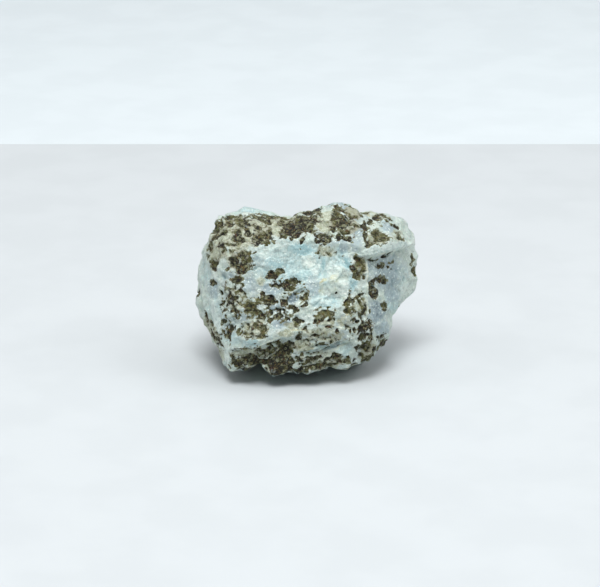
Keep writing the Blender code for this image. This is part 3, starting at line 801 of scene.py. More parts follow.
# Flakes broken out of the pale faces: (across, up, half width, half height, turn in degrees, rise).
FLAKES = (
    (5.5, 17.7, 2.6, 1.8, -96, 0.4),
    (0.6, 19.1, 2.4, 1.6, 20, 0.3),
    (-4.5, 21.2, 2.9, 1.4, 12, 0.3),
    (3.3, 10.8, 2.6, 1.2, 0, 0.18),
    (-1.6, 16.1, 2.2, 1.2, -15, 0.3),
    (-7.3, 18.7, 1.8, 1.2, 30, 0.25),
    (7.9, 22.0, 2.0, 1.2, -10, 0.35),
    (-4.7, 19.1, 1.8, 1.2, 50, 0.3),
    (11.0, 22.2, 1.4, 1.4, 20, 0.3),
    (14.7, 22.2, 1.6, 1.2, 10, 0.3),
    (-11.4, 2.9, 2.9, 1.0, 0, 0.25),
    (8.6, 2.2, 1.8, 1.6, 30, 0.3),
    (15.1, 11.4, 2.0, 2.9, 60, 0.35),
    (18.1, 16.5, 2.4, 2.9, 75, 0.35),
    (-7.3, 13.4, 2.4, 1.6, 40, 0.3),
    (-15.9, 16.7, 1.6, 1.2, 15, 0.3),
    (-17.1, 19.5, 1.2, 1.0, 30, 0.25),
    (-5.3, 6.9, 2.4, 1.0, -10, 0.25),
)

# Cream veins and the lips of ledges, partly painted highlight there: lines of (across, up).
VEINS_AND_LIT_LIPS = (
    ((-14.1, 0.7), (-12.8, 1.1), (-11.1, 0.9), (-8.9, 2.4), (-6.3, 3.6), (-3.7, 4.1)),
    ((-11.1, 0.5), (-10.0, -0.3), (-8.3, -0.6), (-6.7, 0.2), (-5.6, 1.4)),
    ((-16.0, -2.2), (-14.8, -3.2), (-12.8, -2.5), (-11.1, -2.2), (-9.2, -1.7), (-8.0, -2.0), (-7.3, -3.4)),
    ((3.2, 6.7), (4.4, 6.8), (5.9, 6.1), (7.3, 5.6), (9.0, 5.5)),
    ((-1.2, 5.1), (0.5, 4.6), (2.5, 3.4), (4.4, 3.1)),
    ((-1.2, -0.2), (2.9, 0.5), (5.6, 1.1), (7.6, 2.1), (9.3, 3.3), (10.4, 5.1)),
    ((12.4, 20.0), (12.3, 16.5), (12.4, 13.4), (12.4, 11.0), (12.2, 7.7)),
    ((-12.8, 6.9), (-11.0, 7.4), (-9.0, 7.1), (-8.1, 5.9)),
    ((-2.0, -2.0), (1.2, -1.6), (3.3, -0.2), (5.5, 0.4)),
    ((12.3, 20.1), (14.3, 20.4), (16.1, 21.0), (18.3, 21.6), (21.2, 22.2)),
)


class Mask(Enum):
    """The mineral map's layers, each an attribute of the stone's points."""

    BASALT = "basalt"
    SHADE = "shade"
    BLUE = "blue"
    WHITE = "white"
    SLATE = "slate"
    CRUST = "crust"
    OCHRE = "ochre"
    VEIN_AND_LIT_LIP = "vein"
    # The fine relief's hollows and peaks: the finish paints shade into the hollows and light onto the
    # peaks.
    RELIEF_SHADING = "relief"


# ---------------------------------------------------------------- numbers over space

# How the bits of a cell's place and a seed are mixed: large odd factors, then shifts with factors.
CELL_FACTORS = (73856093, 19349663, 83492791)
SEED_FACTOR = 2654435761
MIXING_ROUNDS = ((13, 1274126177), (16, 2246822519))
LAST_SHIFT = 15
ALL_BITS = 0xFFFFFFFF
# What brings raw noise to about -1 to 1, and the form of the dishes of broken stone.
NOISE_GAIN = 1.6
DISH_TILT = 0.5
DISH_HOLLOW = 0.7


def smooth_step(low: float, high: float, values: Array) -> Array:
    """Rise smoothly from 0 at low to 1 at high, as 3s² - 2s³ of the share s of the way.

    Args:
        low: the value at which the rise starts.
        high: the value at which it ends.
        values: the values to ease.

    Returns:
        The eased values, from 0 to 1.
    """
    share = np.clip((values - low) / (high - low), 0.0, 1.0)
    return share * share * (3.0 - 2.0 * share)


def scattered(cells: Array, seed: int) -> Array:
    """Give each whole-numbered cell a repeatable number, by mixing the bits of its place and the seed.

    Args:
        cells: whole-numbered places, with three numbers each.
        seed: picks one set of numbers from many.

    Returns:
        One number from 0 to 1 for each cell.
    """
    x, y, z = (cells[..., k].astype(np.int64) * factor for k, factor in enumerate(CELL_FACTORS))
    mixed = x ^ y ^ z ^ (seed * SEED_FACTOR)
    for shift, factor in MIXING_ROUNDS:
        mixed = ((mixed ^ (mixed >> shift)) * factor) & ALL_BITS
    return (mixed ^ (mixed >> LAST_SHIFT)) / ALL_BITS


def steps_to(cells: tuple[int, ...]) -> Array:
    """List the steps from a cell to its neighbours, with each of the given steps along each axis."""
    return np.stack(np.meshgrid(*[cells] * 3, indexing="ij"), axis=-1).reshape(-1, 3)


def rolling(places: Array, size: float, seed: int) -> Array:
    """Make smooth noise: random slopes at the points of a lattice, with a quintic ease between them.

    Args:
        places: where the noise is read, in millimetres.
        size: the lattice's spacing.
        seed: picks one noise from many.

    Returns:
        One number from about -1 to 1 for each place.
    """
    at = places / size
    cell = np.floor(at).astype(np.int64)
    inner = at - cell
    ease = inner**3 * (inner * (inner * 6 - 15) + 10)
    total = np.zeros(len(places))
    for step in steps_to((0, 1)):
        corner = cell + step
        slope = np.stack([scattered(corner, seed + k) * 2 - 1 for k in range(3)], axis=-1)
        share = np.where(step == 1, ease, 1 - ease).prod(axis=1)
        total += share * (slope * (inner - step)).sum(axis=1)
    return total * NOISE_GAIN


def layered(places: Array, octaves: Octaves) -> Array:
    """Sum smooth noise of several sizes.

    Args:
        places: where the noise is read, in millimetres.
        octaves: the size, height and seed of each noise.

    Returns:
        The sum at each place.
    """
    return sum(height * rolling(places, size, seed) for size, height, seed in octaves)


def scallops(places: Array, size: float, seed: int) -> Array:
    """Make broken-stone relief: the lowest of the tilted shallow dishes that are set near a place.

    Each dish rises with the square of the distance from its middle, so the dishes meet in sharp ridges.

    Args:
        places: where the relief is read, in millimetres.
        size: the spacing of the dishes.
        seed: picks one relief from many.

    Returns:
        One height from about -1 to 1 for each place.
    """
    at = places / size
    cell = np.floor(at).astype(np.int64)
    lowest = np.full(len(places), np.inf)
    for step in steps_to((-1, 0, 1)):
        near = cell + step
        middle = near + np.stack([scattered(near, seed + k) for k in range(3)], axis=-1)
        tilt = np.stack([scattered(near, seed + 3 + k) * 2 - 1 for k in range(3)], axis=-1)
        away = at - middle
        dish = scattered(near, seed + 6) - 0.5 + DISH_TILT * (tilt * away).sum(axis=1)
        lowest = np.minimum(lowest, dish + DISH_HOLLOW * (away**2).sum(axis=1))
    return lowest * NOISE_GAIN


def line_distance(spots: Array, line: Line) -> tuple[Array, Array]:
    """Measure how far spots lie from a line of straight runs, and on which side of it.

    Args:
        spots: (across, up) of each spot.
        line: the points of the line.

    Returns:
        The distance to the nearest run, and the same distance signed, above the line positive.
    """
    points = np.array(line)
    nearest = np.full(len(spots), np.inf)
    height = np.zeros(len(spots))
    for start, end in zip(points[:-1], points[1:]):
        run = end - start
        share = np.clip((spots - start) @ run / (run @ run), 0, 1)
        distance = np.hypot(*(spots - start - share[:, None] * run).T)
        side = np.sign(run[0] * (spots[:, 1] - start[1]) - run[1] * (spots[:, 0] - start[0]))
        height = np.where(distance < nearest, side * distance, height)
        nearest = np.minimum(nearest, distance)
    return nearest, height


# ---------------------------------------------------------------- the form


@dataclass(frozen=True)
class LeaningFace:
    """The frame of the broad broken face, and how it stands in the part's own frame."""

    lean: float = math.radians(20.0)
    stand: Place = (-0.2, -4.7, 2.4)

    def to_part(self, places: Array) -> Array:
        """Turn places (across, up, out) back by the lean and set them on the part's origin.

        Args:
            places: places in the face's frame.

        Returns:
            The same places in the part's frame, still in millimetres.
        """
        across, up, out = places.T
        lean, stand = math.sin(self.lean), math.cos(self.lean)
        turned = np.stack([across, up * lean - out * stand, up * stand + out * lean], axis=1)
        return turned + np.array(self.stand)


@dataclass(frozen=True)
class BallLattice:
    """Points all round a ball: those of a cube's skin, crowded towards the broad face."""

    cells: int = 128
    crowding: float = 0.28

    def skin(self) -> tuple[Array, Array]:
        """Mark the points of the cube's grid that lie on its skin, and number them.

        Returns:
            The grid places of the skin's points, and the number of each grid point, or -1.
        """
        steps = np.arange(self.cells + 1)
        grid = np.stack(np.meshgrid(steps, steps, steps, indexing="ij"), axis=-1)
        on_skin = (grid % self.cells == 0).any(axis=-1)
        number = np.full(on_skin.shape, -1)
        number[on_skin] = np.arange(on_skin.sum())
        return grid[on_skin], number

    def directions(self) -> Array:
        """Point through the skin's points: the tangent of evenly spaced angles, then the crowding.

        Returns:
            One direction of length 1 for each point.
        """
        grid, _ = self.skin()
        spread = np.tan((grid * 2.0 / self.cells - 1.0) * math.pi / 4)
        spread /= np.linalg.norm(spread, axis=1, keepdims=True)
        spread[:, 2] += self.crowding
        return spread / np.linalg.norm(spread, axis=1, keepdims=True)

    def quads(self) -> Array:
        """Join neighbouring points on each of the cube's six sides into quads that face out.

        Returns:
            The four point numbers of each quad.
        """
        _, number = self.skin()
        quads = []
        for axis in range(3):
            for side in (0, self.cells):
                sheet = np.moveaxis(number, axis, 0)[side]
                corners = [sheet[:-1, :-1], sheet[1:, :-1], sheet[1:, 1:], sheet[:-1, 1:]]
                quad = np.stack(corners, axis=-1).reshape(-1, 4)
                faces_out = (side == self.cells) != (axis == 1)
                quads.append(quad if faces_out else quad[:, ::-1])
        return np.concatenate(quads)


def worn(values: Array, quads: Array, passes: int) -> Array:
    """Wear values down: move each halfway to the mean of its neighbours, and again for each pass.

    Args:
        values: one value for each point.
        quads: the quads that join the points.
        passes: how many times they move.

    Returns:
        The worn values.
    """
    ends = np.concatenate([quads[:, [0, 1]], quads[:, [1, 2]]])
    count = np.bincount(ends.ravel(), minlength=len(values))
    for _ in range(passes):
        near = np.bincount(ends[:, 0], values[ends[:, 1]], len(values))
        near += np.bincount(ends[:, 1], values[ends[:, 0]], len(values))
        values = (values + near / count) / 2
    return values


def normals_of(places: Array, quads: Array) -> Array:
    """Find each point's normal: the sum of the cross products of its quads' diagonals, made length 1.

    Args:
        places: the points.
        quads: the quads that join them.

    Returns:
        One direction of length 1 for each point.
    """
    a, b, c, d = (places[quads[:, k]] for k in range(4))
    faces = np.cross(c - a, d - b)
    sums = [np.bincount(quads.ravel(), np.repeat(faces[:, k], 4), len(places)) for k in range(3)]
    total = np.stack(sums, axis=1)
    return total / np.linalg.norm(total, axis=1, keepdims=True)


@dataclass(frozen=True)
class BrokenBlock:
    """The block's main form, close to the solid's: flat faces, wear, chips, ledges and lumps."""

    heart: Place = (0.0, 13.5, 0.0)
    edge_slack: float = 1e-6
    wear_passes: int = 4
    chips: Octaves = ((7.0, 0.35, 11), (3.2, 0.28, 23))
    swells: Octaves = ((8.0, 0.35, 31), (4.0, 0.25, 37))
    ledge_edge: float = 0.12
    ledge_end: float = 1.5
    ledge_depth: float = 4.0

    def flat_faces(self, corners: Array) -> Array:
        """Join the corners by triangles, as the convex hull of their directions from the heart joins them.

        Args:
            corners: the corners, counted from the heart.

        Returns:
            The three corner numbers of each triangle.
        """
        shell = bmesh.new()
        for corner in corners:
            shell.verts.new(Vector(corner).normalized())
        shell.verts.index_update()
        bmesh.ops.convex_hull(shell, input=shell.verts)
        faces = np.array([[v.index for v in face.verts] for face in shell.faces])
        shell.free()
        return faces

    def reach(self, directions: Array) -> Array:
        """Find how far the flat faces lie: 1 over the sum of a direction's shares of a face's corners.

        Args:
            directions: directions of length 1 from the heart.

        Returns:
            The distance from the heart in each direction.
        """
        corners = np.array(CORNERS) - np.array(self.heart)
        far = np.zeros(len(directions))
        for face in self.flat_faces(corners):
            shares = directions @ np.linalg.inv(corners[face])
            inside = shares.min(axis=1) > -self.edge_slack
            far[inside] = 1.0 / shares[inside].sum(axis=1)
        return far

    def ledge(self, places: Array, form: tuple) -> Array:
        """Step along a line: out by the lip above it and back by the drop below it, each fading away.

        Args:
            places: where the step is read.
            form: the ledge's line, lip, drop, and the heights of its two fades.

        Returns:
            How far each place moves outwards.
        """
        line, lip, drop, fade_above, fade_below = form
        _, height = line_distance(places[:, :2], line)
        past_end = np.maximum(line[0][0] - places[:, 0], places[:, 0] - line[-1][0])
        fade = 1 - smooth_step(-self.ledge_end, self.ledge_end, past_end)
        fade *= smooth_step(-self.ledge_depth, 0.0, places[:, 2])
        above = lip * np.exp(-np.maximum(height, 0) / fade_above)
        below = -drop * np.exp(np.minimum(height, 0) / fade_below)
        return fade * (below + (above - below) * smooth_step(-self.ledge_edge, self.ledge_edge, height))

    def relief(self, places: Array) -> Array:
        """Sum the chips, swells, ledges and lumps, whose bumps are bell curves of the distance.

        Args:
            places: places on the worn block.

        Returns:
            How far each place moves outwards.
        """
        moved = np.zeros(len(places))
        for size, height, seed in self.chips:
            moved += height * scallops(places, size, seed)
        moved += layered(places, self.swells)
        for form in LEDGES:
            moved += self.ledge(places, form)
        for place, spread, rise in LUMPS:
            distance = np.linalg.norm(places - np.array(place), axis=1)
            moved += rise * np.exp(-((distance / spread) ** 2))
        return moved

    def surface(self, directions: Array, quads: Array) -> Array:
        """Work out the block's surface: the worn reach of its faces, then the relief, from the heart.

        Args:
            directions: directions of length 1 from the heart.
            quads: the quads that join them.

        Returns:
            The place of the surface in each direction.
        """
        far = worn(self.reach(directions), quads, self.wear_passes)
        far += self.relief(self.heart + directions * far[:, None])
        return self.heart + directions * far[:, None]


# ---------------------------------------------------------------- the minerals


@dataclass(frozen=True)
class Skin:
    """The block's surface, as the mineral map reads it."""

    places: Array
    normals: Array
    eye_distance: float = 550.0
    eye_axis: Span = (-1.2, 12.7)
    edge_turn: Span = (-0.2, 0.08)
    rear_fade: Span = (-16.0, -10.0)
    warps: Octaves = ((2.4, 0.25, 101), (0.9, 0.18, 111))

    @cached_property
    def seen(self) -> Array:
        """Lay the places on the upright plane: straight lines from the eye, which meet at the axis.

        Returns:
            (across, up) where each place is seen on the plane.
        """
        nearer = self.eye_distance / (self.eye_distance - self.places[:, 2])
        axis = np.array(self.eye_axis)
        return axis + (self.places[:, :2] - axis) * nearer[:, None]

    @cached_property
    def facing(self) -> Array:
        """Tell how far each place is on the side that is seen, from 0 to 1."""
        turned = smooth_step(*self.edge_turn, self.normals[:, 2])
        return turned * smooth_step(*self.rear_fade, self.places[:, 2])

    @cached_property
    def warped(self) -> Array:
        """Shift the places by smooth noise, three values for each size, so that outlines turn ragged.

        Returns:
            The shifted places.
        """
        moved = self.places.copy()
        for size, height, seed in self.warps:
            shifts = [rolling(self.places, size, seed + 3 * k) for k in range(3)]
            moved += height * np.stack(shifts, axis=1)
        return moved


@dataclass(frozen=True)
class Blob:
    """A rounded body of one mineral in the rock, placed where it meets the surface."""

    across: float
    up: float
    half_width: float
    half_height: float
    turn: float

    # How much nearer a place counts for each millimetre that it lies further out.
    forward_pull = 0.02
    # How much deeper a body runs where the surface slants, and the limits of that slant.
    depth_gain = 2.0
    most_slant = 2.5
    least_front = 0.2
    # Where a flake's bed ends, as a share of its size.
    flake_rim = (0.8, 1.05)

    def least_half(self) -> float:
        """Give the smaller of the half width and the half height."""
        return min(self.half_width, self.half_height)

    def shares(self, away: Array) -> tuple[Array, Array]:
        """Turn offsets into the body's own directions, as shares of its half width and half height.

        Args:
            away: offsets from its middle, with across and up first.

        Returns:
            The shares along its width and its height.
        """
        cosine, sine = math.cos(math.radians(self.turn)), math.sin(math.radians(self.turn))
        along = (away[:, 0] * cosine + away[:, 1] * sine) / self.half_width
        aside = (away[:, 1] * cosine - away[:, 0] * sine) / self.half_height
        return along, aside

    def nearness(self, skin: Skin, places: Array) -> Array:
        """Measure places against the body: 0 at its middle, 1 on its skin, as an ellipsoid's radius.

        Its middle is the foremost place seen at its spot, and it runs deeper where the surface slants.

        Args:
            skin: the block's surface.
            places: its places, or the same shifted a little by noise.

        Returns:
            The distance of each place, as a share of the body's size.
        """
        miss = np.hypot(skin.seen[:, 0] - self.across, skin.seen[:, 1] - self.up)
        at = np.argmin(miss - self.forward_pull * skin.places[:, 2])
        slant = np.hypot(*skin.normals[at, :2]) / max(skin.normals[at, 2], self.least_front)
        deeper = max(1.0, self.depth_gain * min(slant, self.most_slant))
        depth = max(self.half_width, self.half_height) * deeper
        away = places - skin.places[at]
        along, aside = self.shares(away)
        return np.sqrt(along**2 + aside**2 + (away[:, 2] / depth) ** 2)

    def flake(self, skin: Skin) -> Array:
        """Lean a flake's bed over the body: it climbs from the lower edge to the upper, and ends there.

        Args:
            skin: the block's surface.

        Returns:
            The height of each place, from -1 at the lower edge to 1 at the upper one, 0 outside.
        """
        _, aside = self.shares(skin.seen - np.array((self.across, self.up)))
        inside = 1 - smooth_step(*self.flake_rim, self.nearness(skin, skin.places))
        return aside * inside * skin.facing


@dataclass(frozen=True)
class MineralMap:
    """Where each mineral meets the surface: patches of basalt, zones of pale minerals, and veins."""

    edge_noise: Octaves = ((1.5, 0.2, 127), (0.85, 0.2, 131), (0.42, 0.08, 137))
    least_depth: float = 1.1
    patch_growth: float = 0.05
    pale_margin: float = 0.2
    no_depth: float = -2.0
    middle_shade: float = 0.5
    crumbs: Octaves = ((0.75, 1.0, 151),)
    crumb_share: float = 0.5
    crumb_bite: float = 0.8
    speckle_fade: Span = (0.6, 1.25)
    speckle_grains: Octaves = ((1.0, 1.0, 181), (0.52, 0.6, 187))
    speckle_level: float = 0.8
    speckle_fall: float = 1.15
    bare_share: float = 0.02
    bare_rise: float = 0.8
    speckle_depth: float = 0.5
    hidden_basalt: Octaves = ((5.2, 1.0, 161), (2.3, 0.8, 167), (1.1, 0.5, 173))
    hidden_level: float = 0.12
    hidden_gain: float = 1.3
    hidden_limit: float = 1.5
    hidden_shade: Octaves = ((3.0, 0.4, 179),)
    zone_fade: Span = (0.45, 1.35)
    hidden_zone_size: float = 6.0
    hidden_zone_fade: Span = (-0.2, 0.5)
    hidden_zone_strength: float = 0.8
    vein_width: float = 0.22
    wobble: float = 0.12
    wobble_size: float = 0.9
    wobble_seeds: tuple[int, int] = (191, 193)

    def speckles(self, skin: Skin) -> Array:
        """Scatter small basalt grains: noise of two sizes, above a level that falls where they are denser.

        Args:
            skin: the block's surface.

        Returns:
            The depth in millimetres, negative outside the grains.
        """
        share = np.zeros(len(skin.places))
        for *body, dense in SPECKLE_ZONES:
            fade = 1 - smooth_step(*self.speckle_fade, Blob(*body).nearness(skin, skin.warped))
            share = np.maximum(share, dense * fade)
        level = self.speckle_level - self.speckle_fall * share + self.bare_rise * (share < self.bare_share)
        return self.speckle_depth * (layered(skin.places, self.speckle_grains) - level)

    def patches(self, skin: Skin) -> tuple[Array, Array]:
        """Find how deep places lie in the basalt patches: the largest depth in any, less its broken part.

        Args:
            skin: the block's surface.

        Returns:
            The depth in millimetres, negative outside the patches, and the darkness of the basalt.
        """
        crumbs = np.maximum(self.crumb_share + layered(skin.places, self.crumbs), 0)
        depth = np.full(len(skin.places), self.no_depth)
        shade = np.full(len(skin.places), self.middle_shade)
        for *body, dark, broken in BASALT_PATCHES:
            patch = Blob(*body)
            thick = max(patch.least_half(), self.least_depth)
            inside = thick * (1 - patch.nearness(skin, skin.warped) - self.crumb_bite * broken * crumbs)
            shade = np.where(inside > depth, dark, shade)
            depth = np.maximum(depth, inside)
        return depth + self.patch_growth, shade

    def basalt(self, skin: Skin) -> tuple[Array, Array]:
        """Find all the basalt: patches and speckles where it is seen, noise elsewhere, no pale spots.

        Args:
            skin: the block's surface.

        Returns:
            The depth in millimetres, negative outside the basalt, and the darkness of the basalt.
        """
        depth, shade = self.patches(skin)
        depth = np.maximum(depth, self.speckles(skin))
        unseen = self.hidden_gain * (layered(skin.warped, self.hidden_basalt) - self.hidden_level)
        unseen = np.clip(unseen, -self.hidden_limit, self.hidden_limit)
        depth = depth * skin.facing + unseen * (1 - skin.facing)
        unseen_shade = self.middle_shade + layered(skin.places, self.hidden_shade)
        shade = shade * skin.facing + unseen_shade * (1 - skin.facing)
        for body in PALE_PATCHES:
            spot = Blob(*body)
            outside = (spot.nearness(skin, skin.warped) - 1) * spot.least_half()
            depth = np.minimum(depth, outside - self.pale_margin)
        return depth + layered(skin.places, self.edge_noise), shade

    def zone(self, skin: Skin, zones: Rows, seed: int, share: float) -> Array:
        """Find a pale mineral's strength: the strongest zone, each eased from 1 inside to 0 outside.

        Args:
            skin: the block's surface.
            zones: the mineral's zones.
            seed: picks the noise that scatters it over the sides that aren't seen.
            share: how much of those sides it takes, from -1 to 1.

        Returns:
            The strength at each place, from 0 to 1.
        """
        strength = np.zeros(len(skin.places))
        for *body, strong in zones:
            fade = 1 - smooth_step(*self.zone_fade, Blob(*body).nearness(skin, skin.warped))
            strength = np.maximum(strength, strong * fade)
        noise = rolling(skin.places, self.hidden_zone_size, seed) + share
        unseen = self.hidden_zone_strength * smooth_step(*self.hidden_zone_fade, noise)
        return strength * skin.facing + unseen * (1 - skin.facing)

    def threads(self, skin: Skin, lines: tuple[Line, ...], width: float) -> Array:
        """Draw veins or creases: a bell curve of the distance to the nearest line, on the seen side.

        Args:
            skin: the block's surface.
            lines: the lines.
            width: how far from its line a thread fades.

        Returns:
            The threads' strength at each place, from 0 to 1.
        """
        shifts = [rolling(skin.places, self.wobble_size, seed) for seed in self.wobble_seeds]
        spots = skin.seen + self.wobble * np.stack(shifts, axis=1)
        nearest = np.min([line_distance(spots, line)[0] for line in lines], axis=0)
        return np.exp(-((nearest / width) ** 2)) * skin.facing

    def layers(self, skin: Skin) -> dict[Mask, Array]:
        """Work out every layer of the map.

        Args:
            skin: the block's surface.

        Returns:
            The values of each layer but the relief, one for each place.
        """
        layers = dict(zip((Mask.BASALT, Mask.SHADE), self.basalt(skin)))
        zones = {
            # the mineral's zones, its seed, and its share of the sides that aren't seen
            Mask.BLUE: (BLUE_ZONES, 201, -0.1),
            Mask.WHITE: (WHITE_ZONES, 211, -0.3),
            Mask.SLATE: (SLATE_ZONES, 221, -0.1),
            Mask.CRUST: (CRUST_ZONES, 231, -0.1),
            Mask.OCHRE: (OCHRE_ZONES, 241, -0.45),
        }
        for mask, (rows, seed, share) in zones.items():
            layers[mask] = self.zone(skin, rows, seed, share)
        layers[Mask.VEIN_AND_LIT_LIP] = self.threads(skin, VEINS_AND_LIT_LIPS, self.vein_width)
        return layers


@dataclass(frozen=True)
class Grain:
    """The fine relief of the broken surface, which differs from mineral to mineral."""

    chips: Octaves = ((3.2, 0.42, 351), (1.7, 0.34, 301), (0.85, 0.2, 311))
    basalt_edge: Span = (-0.12, 0.12)
    basalt_recess: float = 0.3
    basalt_grain: Octaves = ((1.1, 0.28, 321), (0.6, 0.2, 331))
    blade_size: float = 0.9
    blade_height: float = 0.12
    blade_length: float = 3.0
    blade_slant: Place = (0.55, 0.62, 0.56)
    blade_seed: int = 341
    vein_rise: float = 0.14
    waxy_edge: Span = (0.2, 0.9)
    waxy_calm: float = 0.75

    def relief(self, places: Array, layers: dict[Mask, Array]) -> Array:
        """Sum the grain: chips everywhere, rugged sunken basalt, long splinters where the stone is pale.

        Splinters are chips read from places that are drawn together along one slanting direction. The
        mean is taken off the sum, so that the block keeps its size.

        Args:
            places: the places on the block.
            layers: the mineral map.

        Returns:
            How far each place moves outwards.
        """
        basalt = smooth_step(*self.basalt_edge, layers[Mask.BASALT])
        moved = np.zeros(len(places))
        waxy = smooth_step(*self.waxy_edge, np.maximum(layers[Mask.BLUE], layers[Mask.WHITE]))
        for size, height, seed in self.chips:
            moved += height * scallops(places, size, seed) * (1 - self.waxy_calm * waxy)
        rugged = layered(places, self.basalt_grain) - self.basalt_recess
        slant = np.array(self.blade_slant)
        along = (places @ slant)[:, None] * slant
        drawn = places - along * (1 - 1 / self.blade_length)
        blades = self.blade_height * scallops(drawn, self.blade_size, self.blade_seed)
        moved += basalt * rugged + (1 - basalt) * blades
        moved += self.vein_rise * layers[Mask.VEIN_AND_LIT_LIP] * (1 - basalt)
        return moved - moved.mean()


# ---------------------------------------------------------------- shader maths


class Value:
    """A number that varies over a surface: a node's socket that takes part in Python sums."""

    def __init__(self, bench: "Bench", socket: bpy.types.NodeSocket) -> None:
        """Wrap a socket of a node on the bench."""
        self.bench = bench
        self.socket = socket

    def _math(self, operation: str, *terms: Link) -> "Value":
        """Add a Math node for an operation on the terms."""
        node = self.bench.node("ShaderNodeMath", {"operation": operation}, dict(enumerate(terms)))
        return Value(self.bench, node.outputs[0])

    def __add__(self, other: Link) -> "Value":
        """Add another number."""
        return self._math("ADD", self, other)

    def __radd__(self, other: Link) -> "Value":
        """Add this number to a plain one."""
        return self._math("ADD", other, self)

    def __sub__(self, other: Link) -> "Value":
        """Take another number away."""
        return self._math("SUBTRACT", self, other)

    def __rsub__(self, other: Link) -> "Value":
        """Take this number from a plain one."""
        return self._math("SUBTRACT", other, self)

    def __mul__(self, other: Link) -> "Value":
        """Multiply by another number."""
        return self._math("MULTIPLY", self, other)

    def __rmul__(self, other: Link) -> "Value":
        """Multiply a plain number by this one."""
        return self._math("MULTIPLY", other, self)

    def step(self, low: float, high: float) -> "Value":
        """Ease from 0 at low to 1 at high, or down from 1 where high is below low.

        Args:
            low: the value that gives 0.
            high: the value that gives 1.

        Returns:
            The eased number.
        """
        flip = low > high
        sockets = {"Value": self, "From Min": min(low, high), "From Max": max(low, high)}
        sockets.update({"To Min": float(flip), "To Max": float(not flip)})
        node = self.bench.node("ShaderNodeMapRange", {"interpolation_type": "SMOOTHSTEP"}, sockets)
        return Value(self.bench, node.outputs["Result"])

    def most(self, other: Link) -> "Value":
        """Take the larger of two numbers."""
        return self._math("MAXIMUM", self, other)


def linear(tone: Tone) -> tuple[float, float, float, float]:
    """Turn a tone from 0 to 255 into linear light, by the standard curve for displays.

    Args:
        tone: red, green and blue from 0 to 255.

    Returns:
        Linear red, green and blue, and an alpha of 1.
    """
    shares = [part / 255.0 for part in tone]
    light = [s / 12.92 if s <= 0.04045 else ((s + 0.055) / 1.055) ** 2.4 for s in shares]
    return (*light, 1.0)


class Bench:
    """The nodes of one material, and the few kinds of node that its finish is made from."""

    noise_gain = 2.4

    def __init__(self, name: str) -> None:
        """Make the material, with its shader and the object's own coordinates in millimetres.

        Args:
            name: the material's name.
        """
        self.material = bpy.data.materials.new(name)
        self.material.use_nodes = True
        self.tree = self.material.node_tree
        self.shader = self.tree.nodes["Principled BSDF"]
        here = self.node("ShaderNodeTexCoord", {}, {}).outputs["Object"]
        sockets = {"Vector": here, "Scale": 1 / MM}
        self.place = self.node("ShaderNodeVectorMath", {"operation": "SCALE"}, sockets).outputs[0]

    def node(self, kind: str, settings: dict, sockets: dict) -> bpy.types.Node:
        """Add a node: its settings first, then the values or links of its sockets.

        Args:
            kind: the node's type.
            settings: the node's own settings, such as a Math node's operation.
            sockets: a value, a Value, a socket or a tone for each named or numbered socket.

        Returns:
            The node.
        """
        node = self.tree.nodes.new(kind)
        for name, setting in settings.items():
            setattr(node, name, setting)
        for name, given in sockets.items():
            self.feed(node.inputs[name], given)
        return node

    def feed(self, socket: bpy.types.NodeSocket, given: object) -> None:
        """Set a socket to a value, or link it.

        Args:
            socket: the socket to feed.
            given: a number or numbers, a Value, or another node's socket.
        """
        if isinstance(given, Value):
            given = given.socket
        if isinstance(given, bpy.types.NodeSocket):
            self.tree.links.new(given, socket)
        else:
            socket.default_value = given

    def mask(self, mask: Mask) -> Value:
        """Read one layer of the mineral map."""
        node = self.node("ShaderNodeAttribute", {"attribute_name": mask.value}, {})
        return Value(self, node.outputs["Fac"])

    def noise(self, size: float, detail: float, shift: float = 0.0) -> Value:
        """Read soft noise, mostly from -0.6 to 0.6.

        Args:
            size: the size of its swells in millimetres.
            detail: how many finer layers it has.
            shift: moves it, so that two noises of one size differ.

        Returns:
            The noise.
        """
        sockets = {"Vector": self.place, "Location": (shift,) * 3, "Scale": (1 / size,) * 3}
        place = self.node("ShaderNodeMapping", {}, sockets).outputs[0]
        node = self.node("ShaderNodeTexNoise", {}, {"Vector": place, "Scale": 1.0, "Detail": detail})
        return (Value(self, node.outputs["Fac"]) - 0.5) * self.noise_gain

    def grains(self, size: float) -> Value:
        """Give each of the cells that fill the rock one number from 0 to 1.

        Args:
            size: the size of a cell in millimetres.

        Returns:
            The number of the cell that a place is in.
        """
        node = self.node("ShaderNodeTexVoronoi", {}, {"Vector": self.place, "Scale": 1 / size})
        parts = self.node("ShaderNodeSeparateColor", {}, {"Color": node.outputs["Color"]})
        return Value(self, parts.outputs["Red"])

    def mix(self, share: Link, low: object, high: object, blend: str = "MIX") -> bpy.types.NodeSocket:
        """Mix two colours.

        Args:
            share: how much of the second colour there is, from 0 to 1.
            low: the first colour, as a tone or a socket.
            high: the second colour, as a tone or a socket.
            blend: how they meet, such as MIX or MULTIPLY.

        Returns:
            The mixed colour's socket.
        """
        low, high = (linear(c) if isinstance(c, tuple) and len(c) == 3 else c for c in (low, high))
        settings = {"data_type": "RGBA", "blend_type": blend, "clamp_factor": True}
        return self.node("ShaderNodeMix", settings, {0: share, 6: low, 7: high}).outputs[2]

    def bump(self, height: Value, depth: float) -> bpy.types.NodeSocket:
        """Turn a height into a bent normal.

        Args:
            height: the height, from about -1 to 1.
            depth: what a height of 1 measures, in metres.

        Returns:
            The normal's socket.
        """
        node = self.node("ShaderNodeBump", {}, {"Height": height, "Strength": 1.0, "Distance": depth})
        return node.outputs["Normal"]


